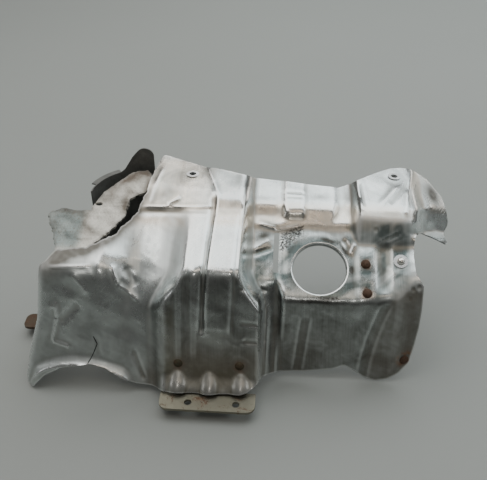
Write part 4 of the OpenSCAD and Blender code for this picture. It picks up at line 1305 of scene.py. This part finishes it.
@dataclass
class Hardware:
    """The nodes whose solids already have the right shape: brackets, rivets, washer, eyelets, rear wall."""

    coats: tuple[tuple[str, Coat], ...] = (
        ("rear_wall", Coat.SHADED_REAR), ("front_bracket", Coat.STEEL), ("side_bracket", Coat.TAB),
        ("bracket_rivets", Coat.DULL), ("side_rivet", Coat.DULL), ("panel_rivets", Coat.HEAD),
        ("corner_rivet", Coat.HEAD), ("domed_rivet", Coat.BRIGHT), ("rivet_washer", Coat.TRIM),
        ("eyelet_left", Coat.TRIM), ("eyelet_right", Coat.TRIM))

    def build(self) -> None:
        """Gives each node its finish."""
        made: dict[Coat, bpy.types.Material] = {}
        for node, coat in self.coats:
            if coat not in made:
                made[coat] = coat.value.build(coat.name.lower())
            for piece in (o for o in bpy.data.objects if o.name.split(".")[0] == node and o.type == "MESH"):
                piece.data.materials.clear()
                piece.data.materials.append(made[coat])
                log.info("dressed %s", piece.name)


WARM_WHITE = (1.0, 0.975, 0.94)
LAMP_WHITE = (1.0, 0.96, 0.9)
SHIELD = (0.0, 0.0, 0.1)


@dataclass(frozen=True)
class Softbox:
    """A rectangular area light: place, size, radiance, tint and target, with lengths in metres.

    Without a target it points straight down.
    """

    name: str
    at: Triple
    size: Pair
    radiance: float
    tint: Triple = (1.0, 1.0, 1.0)
    to: Triple | None = None

    def build(self) -> None:
        """Makes the light; its power is radiance times pi times its area."""
        lamp = linked(self.name, bpy.data.lights.new(self.name, "AREA"))
        lamp.data.shape, (lamp.data.size, lamp.data.size_y) = "RECTANGLE", self.size
        lamp.data.energy = self.radiance * math.pi * self.size[0] * self.size[1]
        lamp.data.color = self.tint
        lamp.location = self.at
        to = self.to or (self.at[0], self.at[1] + 0.001, 0.0)
        lamp.rotation_euler = (Vector(to) - Vector(self.at)).to_track_quat("-Z", "Y").to_euler()


@dataclass
class Studio:
    """Camera at the photograph's angle, a pale floor and soft light.

    The target and the distance are in millimetres, the angles in degrees and the floor in metres.
    """

    target: Triple = (8.95, 54.87, 80.0)
    distance: float = 650.0
    azimuth: float = 4.0
    elevation: float = 35.0
    lens: float = 48.05
    sensor: float = 36.0
    clip: Pair = (0.01, 50.0)
    room: float = 0.13
    room_tint: tuple[float, ...] = (0.86, 0.86, 0.82, 1)
    floor_size: float = 5.0
    floor_points: int = 9
    floor_tones: tuple[Triple, Triple] = ((0.27, 0.288, 0.276), (0.30, 0.318, 0.306))
    lamps: tuple[Softbox, ...] = (
        Softbox("ceiling_left", (-0.875, 0.45, 1.5), (0.75, 2.2), 2.3, WARM_WHITE),
        Softbox("ceiling_mid", (-0.31, 1.02, 1.5), (0.38, 3.36), 2.3, WARM_WHITE),
        Softbox("ceiling", (0.61, 1.3, 1.5), (1.38, 2.9), 2.15, (0.96, 1.0, 1.0)),
        Softbox("ceiling_right", (2.4, 1.25, 1.5), (1.7, 2.94), 1.75, (0.94, 0.99, 1.0)),
        Softbox("front_glow", (0.65, -0.77, 1.5), (1.5, 0.4), 1.15, (1.0, 0.86, 0.72)),
        Softbox("right_back", (1.5, 1.75, 0.33), (0.8, 0.4), 1.8, LAMP_WHITE, (0.15, 0.1, 0.1)),
        Softbox("front_spark", (0.15, -1.5, 1.25), (0.30, 0.22), 5.0, LAMP_WHITE, SHIELD),
        Softbox("left_strip", (-1.7, -0.7, 0.75), (0.25, 0.7), 1.6, to=SHIELD),
        Softbox("right_strip", (1.7, -0.5, 0.75), (0.25, 0.7), 1.6, to=SHIELD))

    def build(self) -> None:
        """Makes camera, floor, lights and world."""
        a, e = math.radians(self.azimuth), math.radians(self.elevation)
        away = Vector((math.sin(a) * math.cos(e), -math.cos(a) * math.cos(e), math.sin(e)))
        camera = linked("camera", bpy.data.cameras.new("camera"))
        camera.data.lens, camera.data.sensor_width = self.lens, self.sensor
        camera.data.sensor_fit = "HORIZONTAL"
        camera.data.clip_start, camera.data.clip_end = self.clip
        camera.location = Vector(self.target) / 1000 + away * self.distance / 1000
        camera.rotation_euler = (-away).to_track_quat("-Z", "Y").to_euler()
        bpy.context.scene.camera = camera
        self.floor()
        for lamp in self.lamps:
            lamp.build()
        world = bpy.data.worlds.new("room")
        bpy.context.scene.world = world
        world.use_nodes = True
        background = world.node_tree.nodes["Background"]
        background.inputs[0].default_value, background.inputs[1].default_value = self.room_tint, self.room

    def floor(self) -> None:
        """A pale plain floor, as a flat grid."""
        count = self.floor_points
        s = np.linspace(-self.floor_size / 2, self.floor_size / 2, count)
        x, y = np.meshgrid(s, s, indexing="ij")
        pts = np.stack([x, y, np.zeros_like(x)], -1).reshape(-1, 3)
        ground = MeshData(pts, grid_faces(count, count)[:, ::-1]).to_object("floor")
        net = Net("pale_floor")
        cloud = net.noise(net.place(), 1.5, 3)
        tone = net.mix(cloud, *self.floor_tones)
        ground.data.materials.append(net.finish(tone, 0.0, 0.6))


def main() -> None:
    """Builds the studio and each sub-assembly in order."""
    logging.basicConfig(level=logging.INFO, format="%(message)s")
    Studio().build()
    for part in (ShieldSheet(), FibreMat()):
        piece = part.build()
        log.info("%s: %d faces", piece.name, len(piece.data.polygons))
    Hardware().build()


if __name__ == "__main__":
    main()
